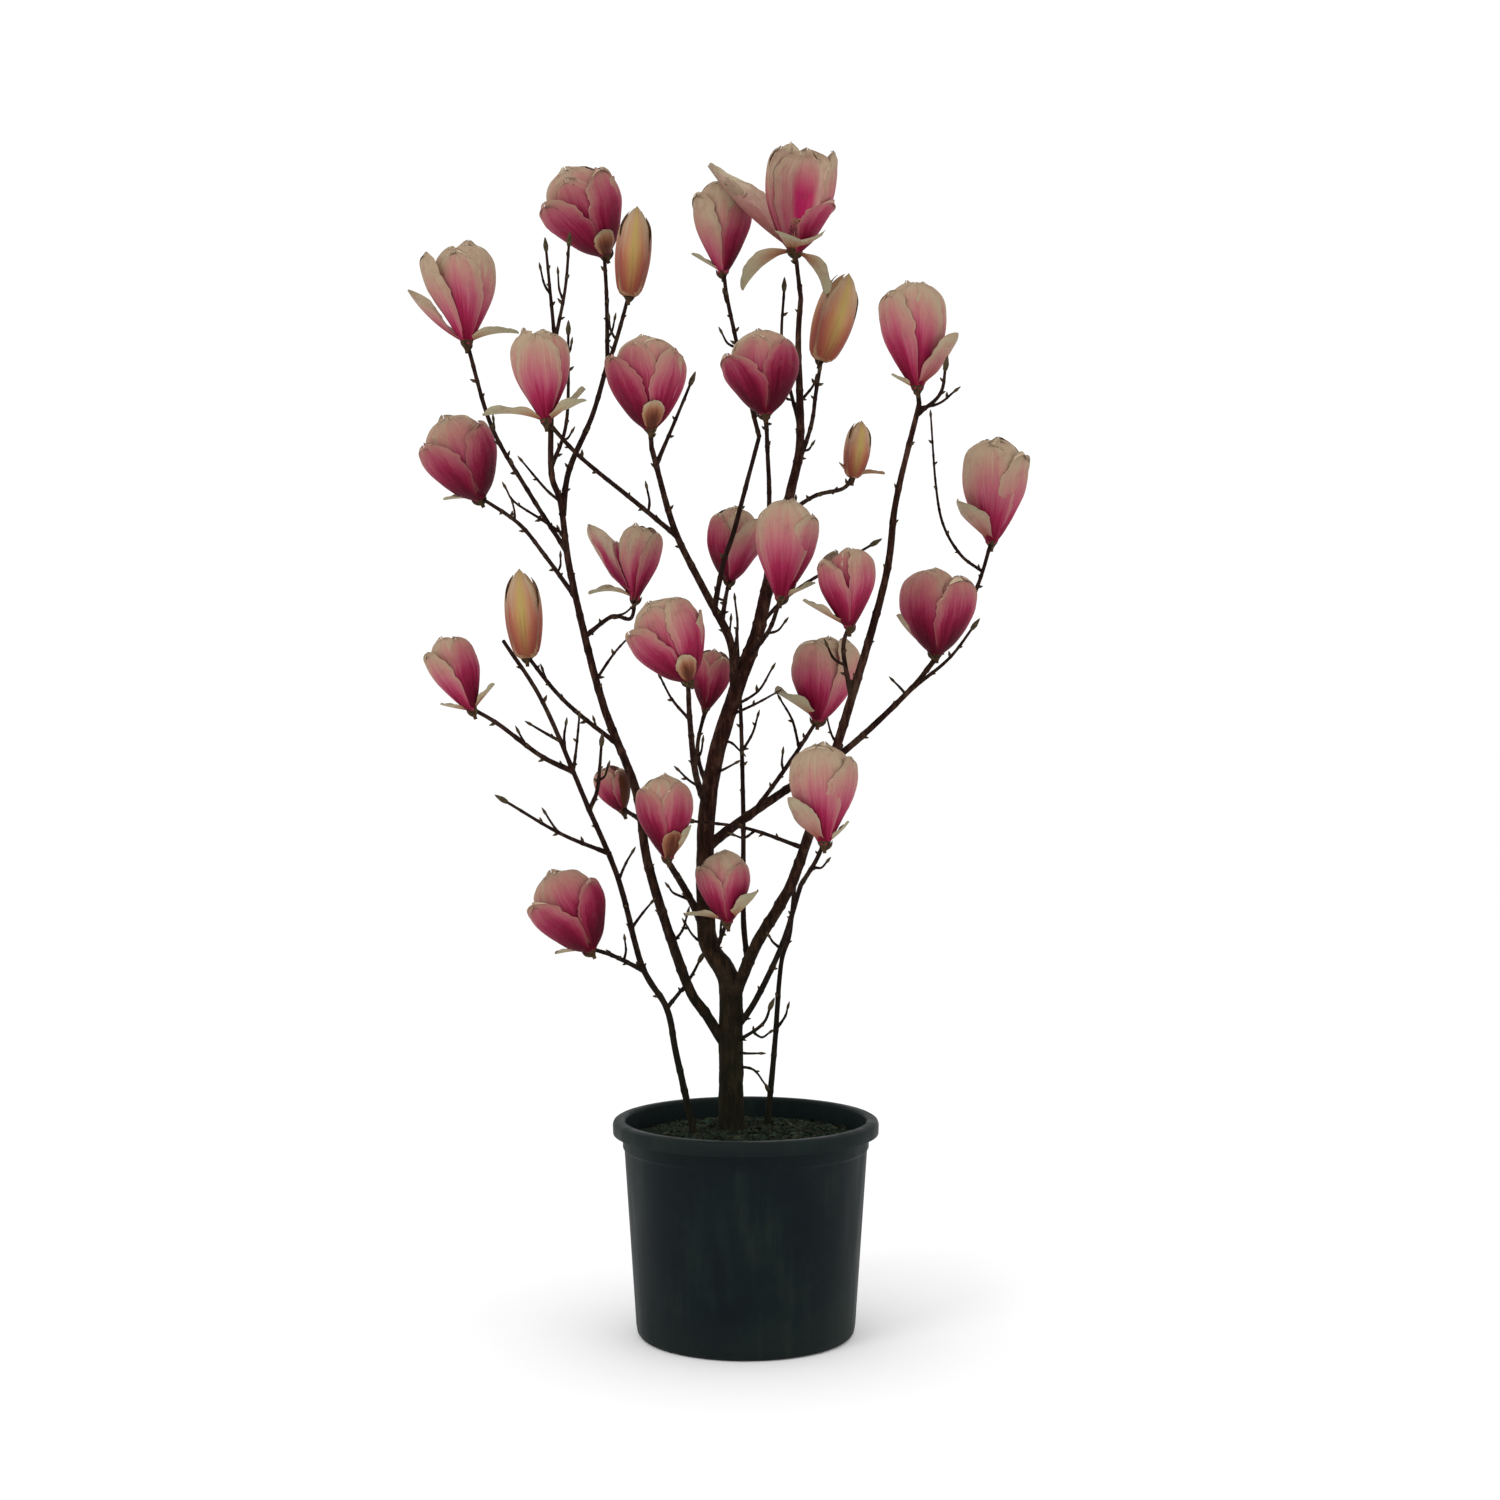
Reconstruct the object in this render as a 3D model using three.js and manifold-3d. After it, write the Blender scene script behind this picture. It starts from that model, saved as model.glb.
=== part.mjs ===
// A potted saucer magnolia in blossom: a young bare-twigged tree, 1.45 m tall with its pot, with pink and
// cream goblet blooms, in a round black nursery pot of 32 cm. Millimetres, +Z up, the origin at the centre
// of the pot's underside, and the tree's broad side facing -Y.
import * as THREE from "three";
import { mergeVertices } from "three/addons/utils/BufferGeometryUtils.js";
import Module from "manifold-3d";

const wasm = await Module();
wasm.setup();

// Driving dimensions of the pot
const POT_HEIGHT = 259;
const RIM_RADIUS = 160;
const COLLAR_RADIUS = 148;
const FOOT_RADIUS = 132;
const WALL = 3;
const FLOOR = 6;
const LIP_DROP = 17;
const COLLAR_HEIGHT = 36;
const FOOT_GROOVE = { inner: 30, outer: 112, depth: 3 };
const DRAIN_HOLES = { count: 8, radius: 7, at: 94, sides: 10 };
const POT_SIDES = 32;

// Driving dimensions of the soil and of the foot of the trunk
const SOIL = { top: 240, fall: 7, flatRadius: 80, gap: 0.5 };
const FLARE = { spread: 0.4, height: 13, ribs: 5, ribDepth: 0.1 };
const CLEARANCE = 0.3;

// The tree is laid out as someone in front of it sees it. A place is [across, up, deep]: across and up are
// where it is seen, measured on a plane through the middle of the tree and square to the line of sight, and
// deep is how far behind the pot's middle it stands.
const EYE = new THREE.Vector3(0, -2800, 760);
const AIM = new THREE.Vector3(5, 0, 702);
const GAZE = AIM.clone().sub(EYE).normalize();
const PICTURE_RIGHT = GAZE.clone().cross(new THREE.Vector3(0, 0, 1)).normalize();
const PICTURE_UP = PICTURE_RIGHT.clone().cross(GAZE);

function stand([across, up, deep]) {
  const ray = AIM.clone().sub(EYE);
  ray.addScaledVector(PICTURE_RIGHT, across - AIM.x).addScaledVector(PICTURE_UP, up - AIM.z);
  return EYE.clone().addScaledVector(ray, (deep - EYE.y) / ray.y);
}

// How much larger a bloom is built at this depth, so that it is seen at its measured size
const growAt = (deep) => (deep - EYE.y) / -EYE.y;

// The trunk, from its flat cut on the soil to its fork, and its radius at four heights
const TRUNK = {
  foot: [-17, 215, 34],
  via: [[-18, 354, 28], [-20, 424, 24], [-43, 466, 20], [-48, 506, 18], [-48, 606, 12], [-36, 694, 6]],
  tip: [-5, 794, 0],
  girth: [[215, 15.4], [405, 14.4], [466, 11.4], [794, 9.2]],
  sides: 12,
  steps: 16,
};

// Each bough: the limb it leaves and at what height, or its foot in the soil, then the places it passes,
// its tip, and its radius at both ends
const BOUGHS = [
  { name: "leader", of: "trunk", leaves: 794, radius: [8.4, 3],
    via: [[13, 840, 2], [24, 889, 4], [53, 1009, 12], [65, 1073, 18], [63, 1190, 30]],
    tip: [66, 1244, 38] },
  { name: "bough_fork_left", of: "trunk", leaves: 770, radius: [5.4, 3],
    via: [[-19, 833, -22], [-51, 896, -48], [-86, 968, -88]], tip: [-113, 1064, -146] },
  { name: "bough_right_long", of: "trunk", leaves: 398, radius: [7.6, 3],
    via: [[12, 467, -10], [42, 518, -34], [63, 563, -50], [111, 712, -84], [166, 901, -112],
      [180, 1000, -130]],
    tip: [208, 1117, -150] },
  { name: "bough_left_long", of: "trunk", leaves: 338, radius: [6.6, 3],
    via: [[-47, 384, 20], [-72, 425, 10], [-116, 560, 22], [-132, 654, 36], [-173, 762, 48],
      [-210, 913, 64], [-222, 998, 74], [-234, 1046, 80]],
    tip: [-230, 1202, 92] },
  { name: "bough_right_spreading", of: "trunk", leaves: 584, radius: [6.2, 3],
    via: [[-7, 616, 34], [54, 658, 58], [120, 702, 86], [192, 769, 106]], tip: [223, 805, 116] },
  { name: "bough_right_low", of: "trunk", leaves: 360, radius: [4, 2.8],
    via: [[9, 397, 4], [43, 467, -44]], tip: [66, 540, -100] },
  { name: "bough_left_short", of: "trunk", leaves: 484, radius: [5.2, 3.6],
    via: [[-72, 533, -28]], tip: [-92, 566, -82] },
  { name: "bough_inner_left", of: "trunk", leaves: 632, radius: [4.4, 2.8],
    via: [[-60, 672, -30], [-67, 735, -86]], tip: [-69, 776, -124] },
  { name: "bough_centre_upright", of: "bough_right_long", leaves: 446, radius: [3.6, 2],
    via: [[-3, 503, 30], [-3, 620, 64], [-6, 743, 74]], tip: [-11, 846, 66] },
  { name: "bough_top_left", of: "bough_left_long", leaves: 984, radius: [3.8, 2.9],
    via: [[-212, 1038, 90], [-184, 1104, 122]], tip: [-166, 1166, 148] },
  { name: "bough_high_centre", of: "bough_fork_left", leaves: 872, radius: [3.6, 2.7],
    via: [[-31, 926, -34], [-13, 962, -28], [-1, 1014, -14]], tip: [16, 1078, 26] },
  { name: "bough_upright_back", of: "leader", leaves: 878, radius: [3.6, 2.6],
    via: [[27, 940, 40], [28, 1010, 50]], tip: [26, 1060, 26] },
  { name: "basal_stem_left", foot: [-56, 215, -4], radius: [4.4, 2.2],
    via: [[-83, 335, -8], [-95, 392, -12], [-125, 444, -34], [-153, 547, -88], [-190, 635, -132],
      [-243, 758, -190]],
    tip: [-291, 833, -236] },
  { name: "basal_stem_right", foot: [22, 215, 56], radius: [4, 2.4],
    via: [[34, 340, 70], [42, 443, 92], [53, 484, 104]], tip: [60, 560, 132] },
];

// Flowering shoots: the limb each leaves and at what height, the places it passes, and the base of its
// bloom. A bloom's lean is in degrees to the right, its nod in degrees away from the viewer, and open runs
// from 0, a closed goblet, to 1, a wide cup. A loose tepal is [direction, droop, length]: direction in
// degrees round the bloom from its right side towards the viewer, droop in degrees from the bloom's axis
// to the tepal's tip.
const SHOOTS = [
  { name: "01", of: "leader", leaves: 1244, via: [], tip: [59, 1302, 22],
    bloom: { long: 127, wide: 98, open: 0.7, lean: 5, nod: 0 },
    loose: [[176, 46, 146], [196, 118, 84], [-10, 134, 62], [62, 64, 62]] },
  { name: "02", of: "bough_high_centre", leaves: 1078, via: [[5, 1122, 56], [-20, 1232, 92]],
    tip: [-27, 1278, 104],
    bloom: { long: 108, wide: 71, open: 0.2, lean: 0, nod: -4 }, loose: [[184, 60, 44]] },
  { name: "03", of: "bough_top_left", leaves: 1166, via: [[-167, 1242, 180]], tip: [-170, 1299, 196],
    bloom: { long: 109, wide: 95, open: 0.1, lean: -24, nod: -6 }, loose: [[70, 50, 40]] },
  { name: "04", of: "bough_top_left", leaves: 1150, via: [[-155, 1195, 134]], tip: [-140, 1250, 120],
    bud: { long: 104, wide: 44, lean: 5, nod: 4 } },
  { name: "05", of: "bough_left_long", leaves: 940, via: [[-259, 1009, 12], [-305, 1090, -48]],
    tip: [-335, 1192, -84],
    bloom: { long: 117, wide: 84, open: 0.45, lean: -2, nod: 6 }, loose: [[180, 44, 93], [4, 84, 61]] },
  { name: "06", of: "bough_fork_left", leaves: 958, via: [[-133, 1000, -118], [-199, 1054, -166]],
    tip: [-240, 1098, -190],
    bloom: { long: 110, wide: 76, open: 0.3, lean: -5, nod: 8 },
    loose: [[178, 80, 76], [-14, 52, 64], [22, 74, 58]] },
  { name: "07", of: "bough_fork_left", leaves: 1064, via: [], tip: [-115, 1090, -160],
    bloom: { long: 111, wide: 96, open: 0.12, lean: -3, nod: 6 }, loose: [[0, 34, 74]] },
  { name: "08", of: "bough_upright_back", leaves: 1060, via: [[25, 1088, -14]], tip: [24, 1108, -50],
    bloom: { long: 100, wide: 90, open: 0.1, lean: -4, nod: 6 }, loose: [] },
  { name: "09", of: "leader", leaves: 1032, via: [[78, 1090, 74], [84, 1130, 106]], tip: [91, 1173, 134],
    bud: { long: 101, wide: 50, lean: 17, nod: -4 } },
  { name: "10", of: "bough_right_long", leaves: 1117, via: [], tip: [206, 1138, -158],
    bloom: { long: 127, wide: 86, open: 0.2, lean: -2, nod: 6 }, loose: [[2, 44, 76], [182, 58, 36]] },
  { name: "11", of: "leader", leaves: 984, via: [[83, 1007, 68], [117, 1016, 104]], tip: [129, 1033, 122],
    bud: { long: 65, wide: 33, lean: 8, nod: -5 }, loose: [[180, 52, 24], [0, 78, 38]] },
  { name: "12", of: "bough_left_long", leaves: 884, via: [[-243, 938, 104], [-273, 974, 132]],
    tip: [-320, 1006, 166],
    bloom: { long: 104, wide: 88, open: 0.1, lean: -27, nod: -8 }, loose: [[185, 70, 44]] },
  { name: "13", of: "bough_right_spreading", leaves: 797, via: [[257, 852, 172], [280, 904, 200]],
    tip: [295, 954, 222],
    bloom: { long: 123, wide: 84, open: 0.2, lean: 1, nod: -8 }, loose: [[180, 50, 66]],
    side: { leaves: 916, via: [[258, 936, 202], [237, 972, 200], [228, 1020, 200]],
      tip: [222, 1102, 204] } },
  { name: "14", of: "bough_fork_left", leaves: 856, via: [[-24, 886, 2]], tip: [-19, 908, 34],
    bloom: { long: 88, wide: 64, open: 0.1, lean: 4, nod: -2 }, loose: [] },
  { name: "15", of: "leader", leaves: 812, via: [[28, 846, -52]], tip: [42, 886, -104],
    bloom: { long: 119, wide: 80, open: 0.12, lean: 5, nod: 8 }, loose: [[0, 60, 46]] },
  { name: "16", of: "bough_left_long", leaves: 838, via: [[-161, 862, 94], [-138, 860, 126]],
    tip: [-133, 886, 140],
    bloom: { long: 90, wide: 58, open: 0.35, lean: 5, nod: -6 }, loose: [[178, 36, 100], [184, 90, 56]] },
  { name: "17", of: "bough_right_long", leaves: 764, via: [[117, 822, -118]], tip: [124, 852, -132],
    bloom: { long: 96, wide: 70, open: 0.15, lean: -2, nod: 8 }, loose: [[180, 58, 64]] },
  { name: "18", of: "bough_right_spreading", leaves: 805, via: [], tip: [229, 820, 110],
    bloom: { long: 102, wide: 93, open: 0.1, lean: 0, nod: 0 }, loose: [[182, 46, 66]] },
  { name: "19", of: "bough_left_long", leaves: 708, via: [[-200, 745, 4], [-230, 774, -30]],
    tip: [-263, 816, -62],
    bud: { long: 101, wide: 47, lean: -5, nod: 5 } },
  { name: "20", of: "bough_inner_left", leaves: 776, via: [], tip: [-69, 788, -136],
    bloom: { long: 105, wide: 92, open: 0.12, lean: -25, nod: 10 }, loose: [] },
  { name: "21", of: "basal_stem_left", leaves: 676, via: [[-246, 695, -164], [-297, 733, -190]],
    tip: [-329, 752, -200],
    bloom: { long: 90, wide: 60, open: 0.25, lean: -26, nod: 4 }, loose: [[8, 62, 42], [186, 58, 40]] },
  { name: "22", of: "trunk", leaves: 650, via: [[-58, 700, 46]], tip: [-48, 754, 64],
    bloom: { long: 73, wide: 50, open: 0.1, lean: 10, nod: -6 }, loose: [] },
  { name: "23", of: "bough_right_spreading", leaves: 628, via: [[42, 672, 30], [64, 704, 30]],
    tip: [87, 740, 28],
    bloom: { long: 101, wide: 84, open: 0.2, lean: 6, nod: 0 }, loose: [[184, 60, 66]] },
  { name: "24", of: "bough_left_long", leaves: 618, via: [], tip: [-149, 632, 70],
    bloom: { long: 58, wide: 44, open: 0.05, lean: -22, nod: -8 }, loose: [] },
  { name: "25", of: "bough_right_low", leaves: 540, via: [[84, 569, -128]], tip: [94, 592, -146],
    bloom: { long: 119, wide: 88, open: 0.15, lean: -2, nod: 6 }, loose: [[184, 44, 76], [4, 50, 40]] },
  { name: "26", of: "bough_left_short", leaves: 566, via: [], tip: [-93, 575, -94],
    bloom: { long: 100, wide: 71, open: 0.12, lean: -4, nod: 8 }, loose: [[16, 40, 48]] },
  { name: "27", of: "trunk", leaves: 456, via: [], tip: [-22, 498, -48],
    bloom: { long: 86, wide: 66, open: 0.2, lean: -5, nod: 8 }, loose: [[182, 76, 52], [-4, 52, 48]] },
  { name: "28", of: "basal_stem_left", leaves: 437, via: [[-159, 455, -92]], tip: [-187, 464, -118],
    bloom: { long: 101, wide: 90, open: 0.12, lean: -30, nod: 4 }, loose: [[185, 70, 44]] },
];

// Shoots with no bloom, each ending in a winter bud
const BARE_SHOOTS = [
  { name: "top_left", of: "bough_left_long", leaves: 1202, via: [], tip: [-240, 1306, 98] },
  { name: "top_left_inner", of: "bough_left_long", leaves: 1186, via: [[-217, 1254, 74]],
    tip: [-212, 1312, 62] },
  { name: "upper_left", of: "bough_left_long", leaves: 1040, via: [[-215, 1098, 56]],
    tip: [-213, 1206, 44] },
  { name: "upper_centre", of: "bough_fork_left", leaves: 1044, via: [[-87, 1092, -124]],
    tip: [-65, 1145, -116] },
  { name: "top_centre", of: "leader", leaves: 1086, via: [[44, 1180, 66]], tip: [46, 1258, 74] },
  { name: "upper_right", of: "bough_right_long", leaves: 1104, via: [[233, 1129, -172]],
    tip: [240, 1163, -188] },
  { name: "centre_right", of: "leader", leaves: 852, via: [[60, 894, 40]], tip: [154, 950, 70] },
  { name: "far_right", of: "bough_right_spreading", leaves: 774, via: [[243, 811, 96]],
    tip: [274, 851, 80] },
  { name: "middle_left", of: "basal_stem_left", leaves: 630, via: [[-178, 656, -116]],
    tip: [-173, 712, -90] },
  { name: "low_left", of: "basal_stem_left", leaves: 578, via: [[-223, 602, -112]],
    tip: [-291, 642, -98] },
  { name: "across_centre", of: "bough_right_long", leaves: 584, via: [[1, 608, -74]],
    tip: [-67, 617, -62] },
  { name: "low_centre", of: "basal_stem_left", leaves: 392, via: [[-69, 425, 32]], tip: [-54, 452, 42] },
  { name: "low_right", of: "trunk", leaves: 348, via: [[19, 372, 2]], tip: [30, 395, -8] },
];

// Sizes that all limbs and shoots share
const BOUGH_SIDES = 6;
const BOUGH_STEP = 60;
const COLLAR_SWELL = { share: 0.3, reach: 12 };
const STEM = { foot: 2.9, tip: 2.3, sides: 4, step: 50 };
const BARE_STEM = { foot: 2.5, tip: 1.6, sides: 4, step: 50 };
const OBSTACLE_SPACING = 8;
const WINTER_BUD = { long: 16, wide: 6.4, sides: 4, sunk: 0.25 };
const CALYX_SINK = 4;
const BLOOM_SIDES = 12;
const BLOOM_WALL = 3.4;
const BLOOM_SHARES = [0.2, 0.4, 0.6, 0.8];
const GOLDEN_ANGLE = 2.39996;

// Spurs: how far apart they stand and how thick they are, and the shares of their length that their knee
// and their end lie along the stem, out from it and upwards
const SPUR = { spacing: 74, shortest: 12, longest: 32, foot: 1.7, tip: 1.2, sides: 3, clear: 5 };
const SPUR_PLACE = { first: 0.35, spread: 0.4, lowest: 0.14, highest: 0.84 };
const SPUR_KNEE = { along: 0.36, out: 0.417 };
const SPUR_END = { along: 0.35, out: 0.2, up: 0.2 };

// The lobes of a bloom's rim: how deep they are cut, from what height, and how much they swell
const LOBES = { count: 6, cut: 0.32, from: 0.6, turned: 0.6, swell: 0.07, fullest: 0.9 };

// A loose tepal, its widths and lifts being shares of its length, and its outline a half wave
const TEPAL = { thickness: 3.2, width: 0.4, cupping: 0.12, leave: 60, curl: 35, lift: 0.04 };
const TEPAL_OUTLINE = { start: 0.04, span: 0.9, power: 0.8, narrowest: 0.18 };

// A seeded random number from 0 to 1
function seeded(seed) {
  let state = seed >>> 0;
  return () => {
    state = (Math.imul(state, 1664525) + 1013904223) >>> 0;
    return state / 4294967296;
  };
}

// Shapes: geometry to solid and back
function solidOf(geometry) {
  for (const name of ["normal", "uv"]) geometry.deleteAttribute(name);
  const merged = mergeVertices(geometry, 1e-4);
  return new wasm.Manifold(
    new wasm.Mesh({
      numProp: 3,
      vertProperties: new Float32Array(merged.attributes.position.array),
      triVerts: new Uint32Array(merged.index.array),
    }),
  );
}

function geometryOf(solid) {
  const { vertProperties, triVerts } = solid.getMesh();
  const geometry = new THREE.BufferGeometry();
  geometry.setAttribute("position", new THREE.BufferAttribute(new Float32Array(vertProperties), 3));
  geometry.setIndex(new THREE.BufferAttribute(new Uint32Array(triVerts), 1));
  const faceted = geometry.toNonIndexed();
  faceted.computeVertexNormals();
  return faceted;
}

// The largest piece of a solid, without the scraps that a cut leaves
function largest(solid) {
  return solid.decompose().reduce((a, b) => (a.volume() > b.volume() ? a : b));
}

// A closed tapering tube: a cylinder bent along a curve. radiusAt(share, turn) gives its radius, and
// spare lengthens it at both ends.
function bentCylinder(curve, radiusAt, sides, steps, spare = 0) {
  const geometry = new THREE.CylinderGeometry(1, 1, 1, sides, steps);
  const frames = curve.computeFrenetFrames(steps, false);
  const middle = curve.getSpacedPoints(steps);
  middle[0].addScaledVector(frames.tangents[0], -spare);
  middle[steps].addScaledVector(frames.tangents[steps], spare);
  const position = geometry.attributes.position;
  for (let i = 0; i < position.count; i++) {
    const step = Math.round((position.getY(i) + 0.5) * steps);
    const x = position.getX(i);
    const z = position.getZ(i);
    const radius = radiusAt(step / steps, Math.atan2(z, x));
    const point = middle[step].clone();
    point.addScaledVector(frames.binormals[step], radius * x);
    point.addScaledVector(frames.normals[step], radius * z);
    position.setXYZ(i, point.x, point.y, point.z);
  }
  return geometry;
}

// An outline of [radius, height] pairs turned round the upright axis
function turned(outline, sides) {
  const points = outline.map(([radius, height]) => new THREE.Vector2(radius, height));
  return new THREE.LatheGeometry(points, sides).rotateX(Math.PI / 2);
}

// The pot: a turned shell with a collar and a rolled lip, a grooved underside and drain holes
function potOutline() {
  const groove = FOOT_GROOVE;
  const step = POT_HEIGHT - COLLAR_HEIGHT;
  const inside = COLLAR_RADIUS - WALL;
  return [
    [0, 0], [groove.inner, 0], [groove.inner + 3, groove.depth], [groove.outer - 3, groove.depth],
    [groove.outer, 0], [FOOT_RADIUS - 7, 0], [FOOT_RADIUS - 2, 2.5], [FOOT_RADIUS, 8],
    [COLLAR_RADIUS - 2, step], [COLLAR_RADIUS, step + 3], [COLLAR_RADIUS, POT_HEIGHT - 5],
    [RIM_RADIUS - 4, POT_HEIGHT - 5], [RIM_RADIUS - 2.6, POT_HEIGHT - LIP_DROP],
    [RIM_RADIUS - 0.4, POT_HEIGHT - LIP_DROP], [RIM_RADIUS, POT_HEIGHT - 6], [RIM_RADIUS - 5, POT_HEIGHT],
    [inside + 2, POT_HEIGHT], [inside, POT_HEIGHT - 3], [inside, step + 3], [inside - 2, step],
    [FOOT_RADIUS - WALL, FLOOR], [0, FLOOR],
  ];
}

function makePot() {
  const { count, radius, at, sides } = DRAIN_HOLES;
  let pot = solidOf(turned(potOutline(), POT_SIDES));
  for (let i = 0; i < count; i++) {
    const turn = ((i + 0.5) / count) * 2 * Math.PI;
    const drill = new THREE.CylinderGeometry(radius, radius, 4 * FLOOR, sides).rotateX(Math.PI / 2);
    pot = pot.subtract(solidOf(drill.translate(at * Math.cos(turn), at * Math.sin(turn), FLOOR)));
  }
  return pot;
}

// The soil: it fills the pot to just under the rim and falls a little towards the wall
function makeSoil() {
  const step = POT_HEIGHT - COLLAR_HEIGHT;
  const inside = COLLAR_RADIUS - WALL - SOIL.gap;
  const bottom = FLOOR + SOIL.gap;
  return solidOf(
    turned(
      [
        [0, bottom], [FOOT_RADIUS - WALL - SOIL.gap, bottom], [inside - 2, step], [inside, step + 3],
        [inside, SOIL.top - SOIL.fall], [SOIL.flatRadius, SOIL.top], [0, SOIL.top],
      ],
      POT_SIDES,
    ),
  );
}

// Limbs: where each runs, and how thick it is along its way
class Limb {
  constructor(places) {
    const seen = places.map((place) => new THREE.Vector3(...place));
    this.seen = new THREE.CatmullRomCurve3(seen, false, "catmullrom", 0.5);
    this.tip = places[places.length - 1];
    const samples = this.seen.getSpacedPoints(6 * (places.length - 1));
    this.curve = new THREE.CatmullRomCurve3(samples.map((p) => stand(p.toArray())));
    this.length = this.curve.getLength();
  }

  // The place on the limb at this height
  atHeight(up) {
    let low = 0;
    let high = 1;
    for (let halving = 0; halving < 30; halving++) {
      const middle = (low + high) / 2;
      if (this.seen.getPoint(middle).y < up) low = middle;
      else high = middle;
    }
    return this.seen.getPoint(high).toArray();
  }
}

const limbs = new Map();
const solids = new Map();
const envelopes = new Map();

function limbOf(spec) {
  return new Limb([spec.foot ?? limbs.get(spec.of).atHeight(spec.leaves), ...spec.via, spec.tip]);
}

// An even taper, with a swollen collar where the limb leaves another's side
function taper(spec, foot, tip, length) {
  const onTip = spec.of && limbs.get(spec.of).tip[1] - spec.leaves < 1;
  const swell = onTip ? 0 : COLLAR_SWELL.share;
  return (share) =>
    (foot + (tip - foot) * share) * (1 + swell * Math.exp((-share * length) / COLLAR_SWELL.reach));
}

// The trunk's radius: its girth at each height, and its ribbed root flare above the soil
function trunkRadius(limb) {
  const stops = TRUNK.girth;
  return (share, turn) => {
    const up = limb.seen.getPointAt(share).y;
    const last = Math.max(1, stops.findIndex(([height]) => height >= up));
    const [lowUp, lowRadius] = stops[last - 1];
    const [highUp, highRadius] = stops[last];
    const radius = THREE.MathUtils.mapLinear(up, lowUp, highUp, lowRadius, highRadius);
    const flare = Math.exp(-Math.max(0, up - SOIL.top) / FLARE.height);
    return radius * (1 + FLARE.spread * flare) * (1 + FLARE.ribDepth * flare * Math.cos(FLARE.ribs * turn));
  };
}

// Keeps a limb, and the fatter envelope that everything grown from it is cut clear of
function addLimb(name, limb, radiusAt, sides, steps) {
  const spare = CLEARANCE / Math.cos(Math.PI / sides);
  const fatter = (share, turn) => radiusAt(share, turn) + spare;
  let solid = solidOf(bentCylinder(limb.curve, radiusAt, sides, steps));
  solid = solid.trimByPlane([0, 0, 1], SOIL.top + CLEARANCE);
  for (const envelope of envelopes.values()) solid = solid.subtract(envelope);
  solids.set(name, largest(solid));
  envelopes.set(name, solidOf(bentCylinder(limb.curve, fatter, sides, steps, spare)));
}

// What twigs keep clear of: balls along every limb, and inside every bloom
const obstacles = [];

function remember(owner, curve, radius) {
  const steps = Math.ceil(curve.getLength() / OBSTACLE_SPACING);
  for (const at of curve.getSpacedPoints(steps)) obstacles.push({ owner, at, radius });
}

function isClear(points, owner) {
  return points.every((point) =>
    obstacles.every((ball) => ball.owner === owner || point.distanceTo(ball.at) > ball.radius + SPUR.clear),
  );
}

// The spurs of a shoot: short side twigs, set by a seeded rule at the golden angle round its stem
function spursOf(owner, curve, seed) {
  const random = seeded(seed);
  const count = Math.floor(curve.getLength() / SPUR.spacing);
  const spurs = [];
  for (let i = 0; i < count; i++) {
    const share = (i + SPUR_PLACE.first + SPUR_PLACE.spread * random()) / count;
    const long = THREE.MathUtils.lerp(SPUR.shortest, SPUR.longest, random());
    const turn = i * GOLDEN_ANGLE + 2 * Math.PI * random();
    if (share < SPUR_PLACE.lowest || share > SPUR_PLACE.highest) continue;
    const along = curve.getTangentAt(share);
    const outward = new THREE.Vector3(0, 1, 0).cross(along).normalize().applyAxisAngle(along, turn);
    const foot = curve.getPointAt(share);
    const knee = foot.clone().addScaledVector(along, SPUR_KNEE.along * long);
    knee.addScaledVector(outward, SPUR_KNEE.out * long);
    const tip = knee.clone().addScaledVector(along, SPUR_END.along * long);
    tip.addScaledVector(outward, SPUR_END.out * long);
    tip.z += SPUR_END.up * long;
    if (isClear([knee, tip], owner)) spurs.push(new THREE.CatmullRomCurve3([foot, knee, tip]));
  }
  return spurs;
}

// A stem, its spurs and its side twig, if it has one
function stemParts(owner, spec, limb, sizes, seed) {
  const steps = Math.max(2, Math.round(limb.length / sizes.step));
  const stemRadius = taper(spec, sizes.foot, sizes.tip, limb.length);
  const spurRadius = (share) => SPUR.foot + (SPUR.tip - SPUR.foot) * share;
  const parts = [solidOf(bentCylinder(limb.curve, stemRadius, sizes.sides, steps))];
  for (const spur of spursOf(owner, limb.curve, seed)) {
    parts.push(solidOf(bentCylinder(spur, spurRadius, SPUR.sides, 2)));
  }
  if (spec.side) {
    const twig = new Limb([limb.atHeight(spec.side.leaves), ...spec.side.via, spec.side.tip]);
    parts.push(solidOf(bentCylinder(twig.curve, spurRadius, sizes.sides, 4)), winterBud(twig));
  }
  return parts;
}

// A bloom's radius at each share of its height, as a share of half its width: closed, and open
const CUP_HEIGHTS = [0, 0.16, 0.5, 0.8, 1];
const CLOSED_CUP = [0.14, 0.6, 1, 0.9, 0.5];
const OPEN_CUP = [0.14, 0.44, 0.8, 0.96, 1];
const CUP_FLOOR = 0.16;

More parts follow.
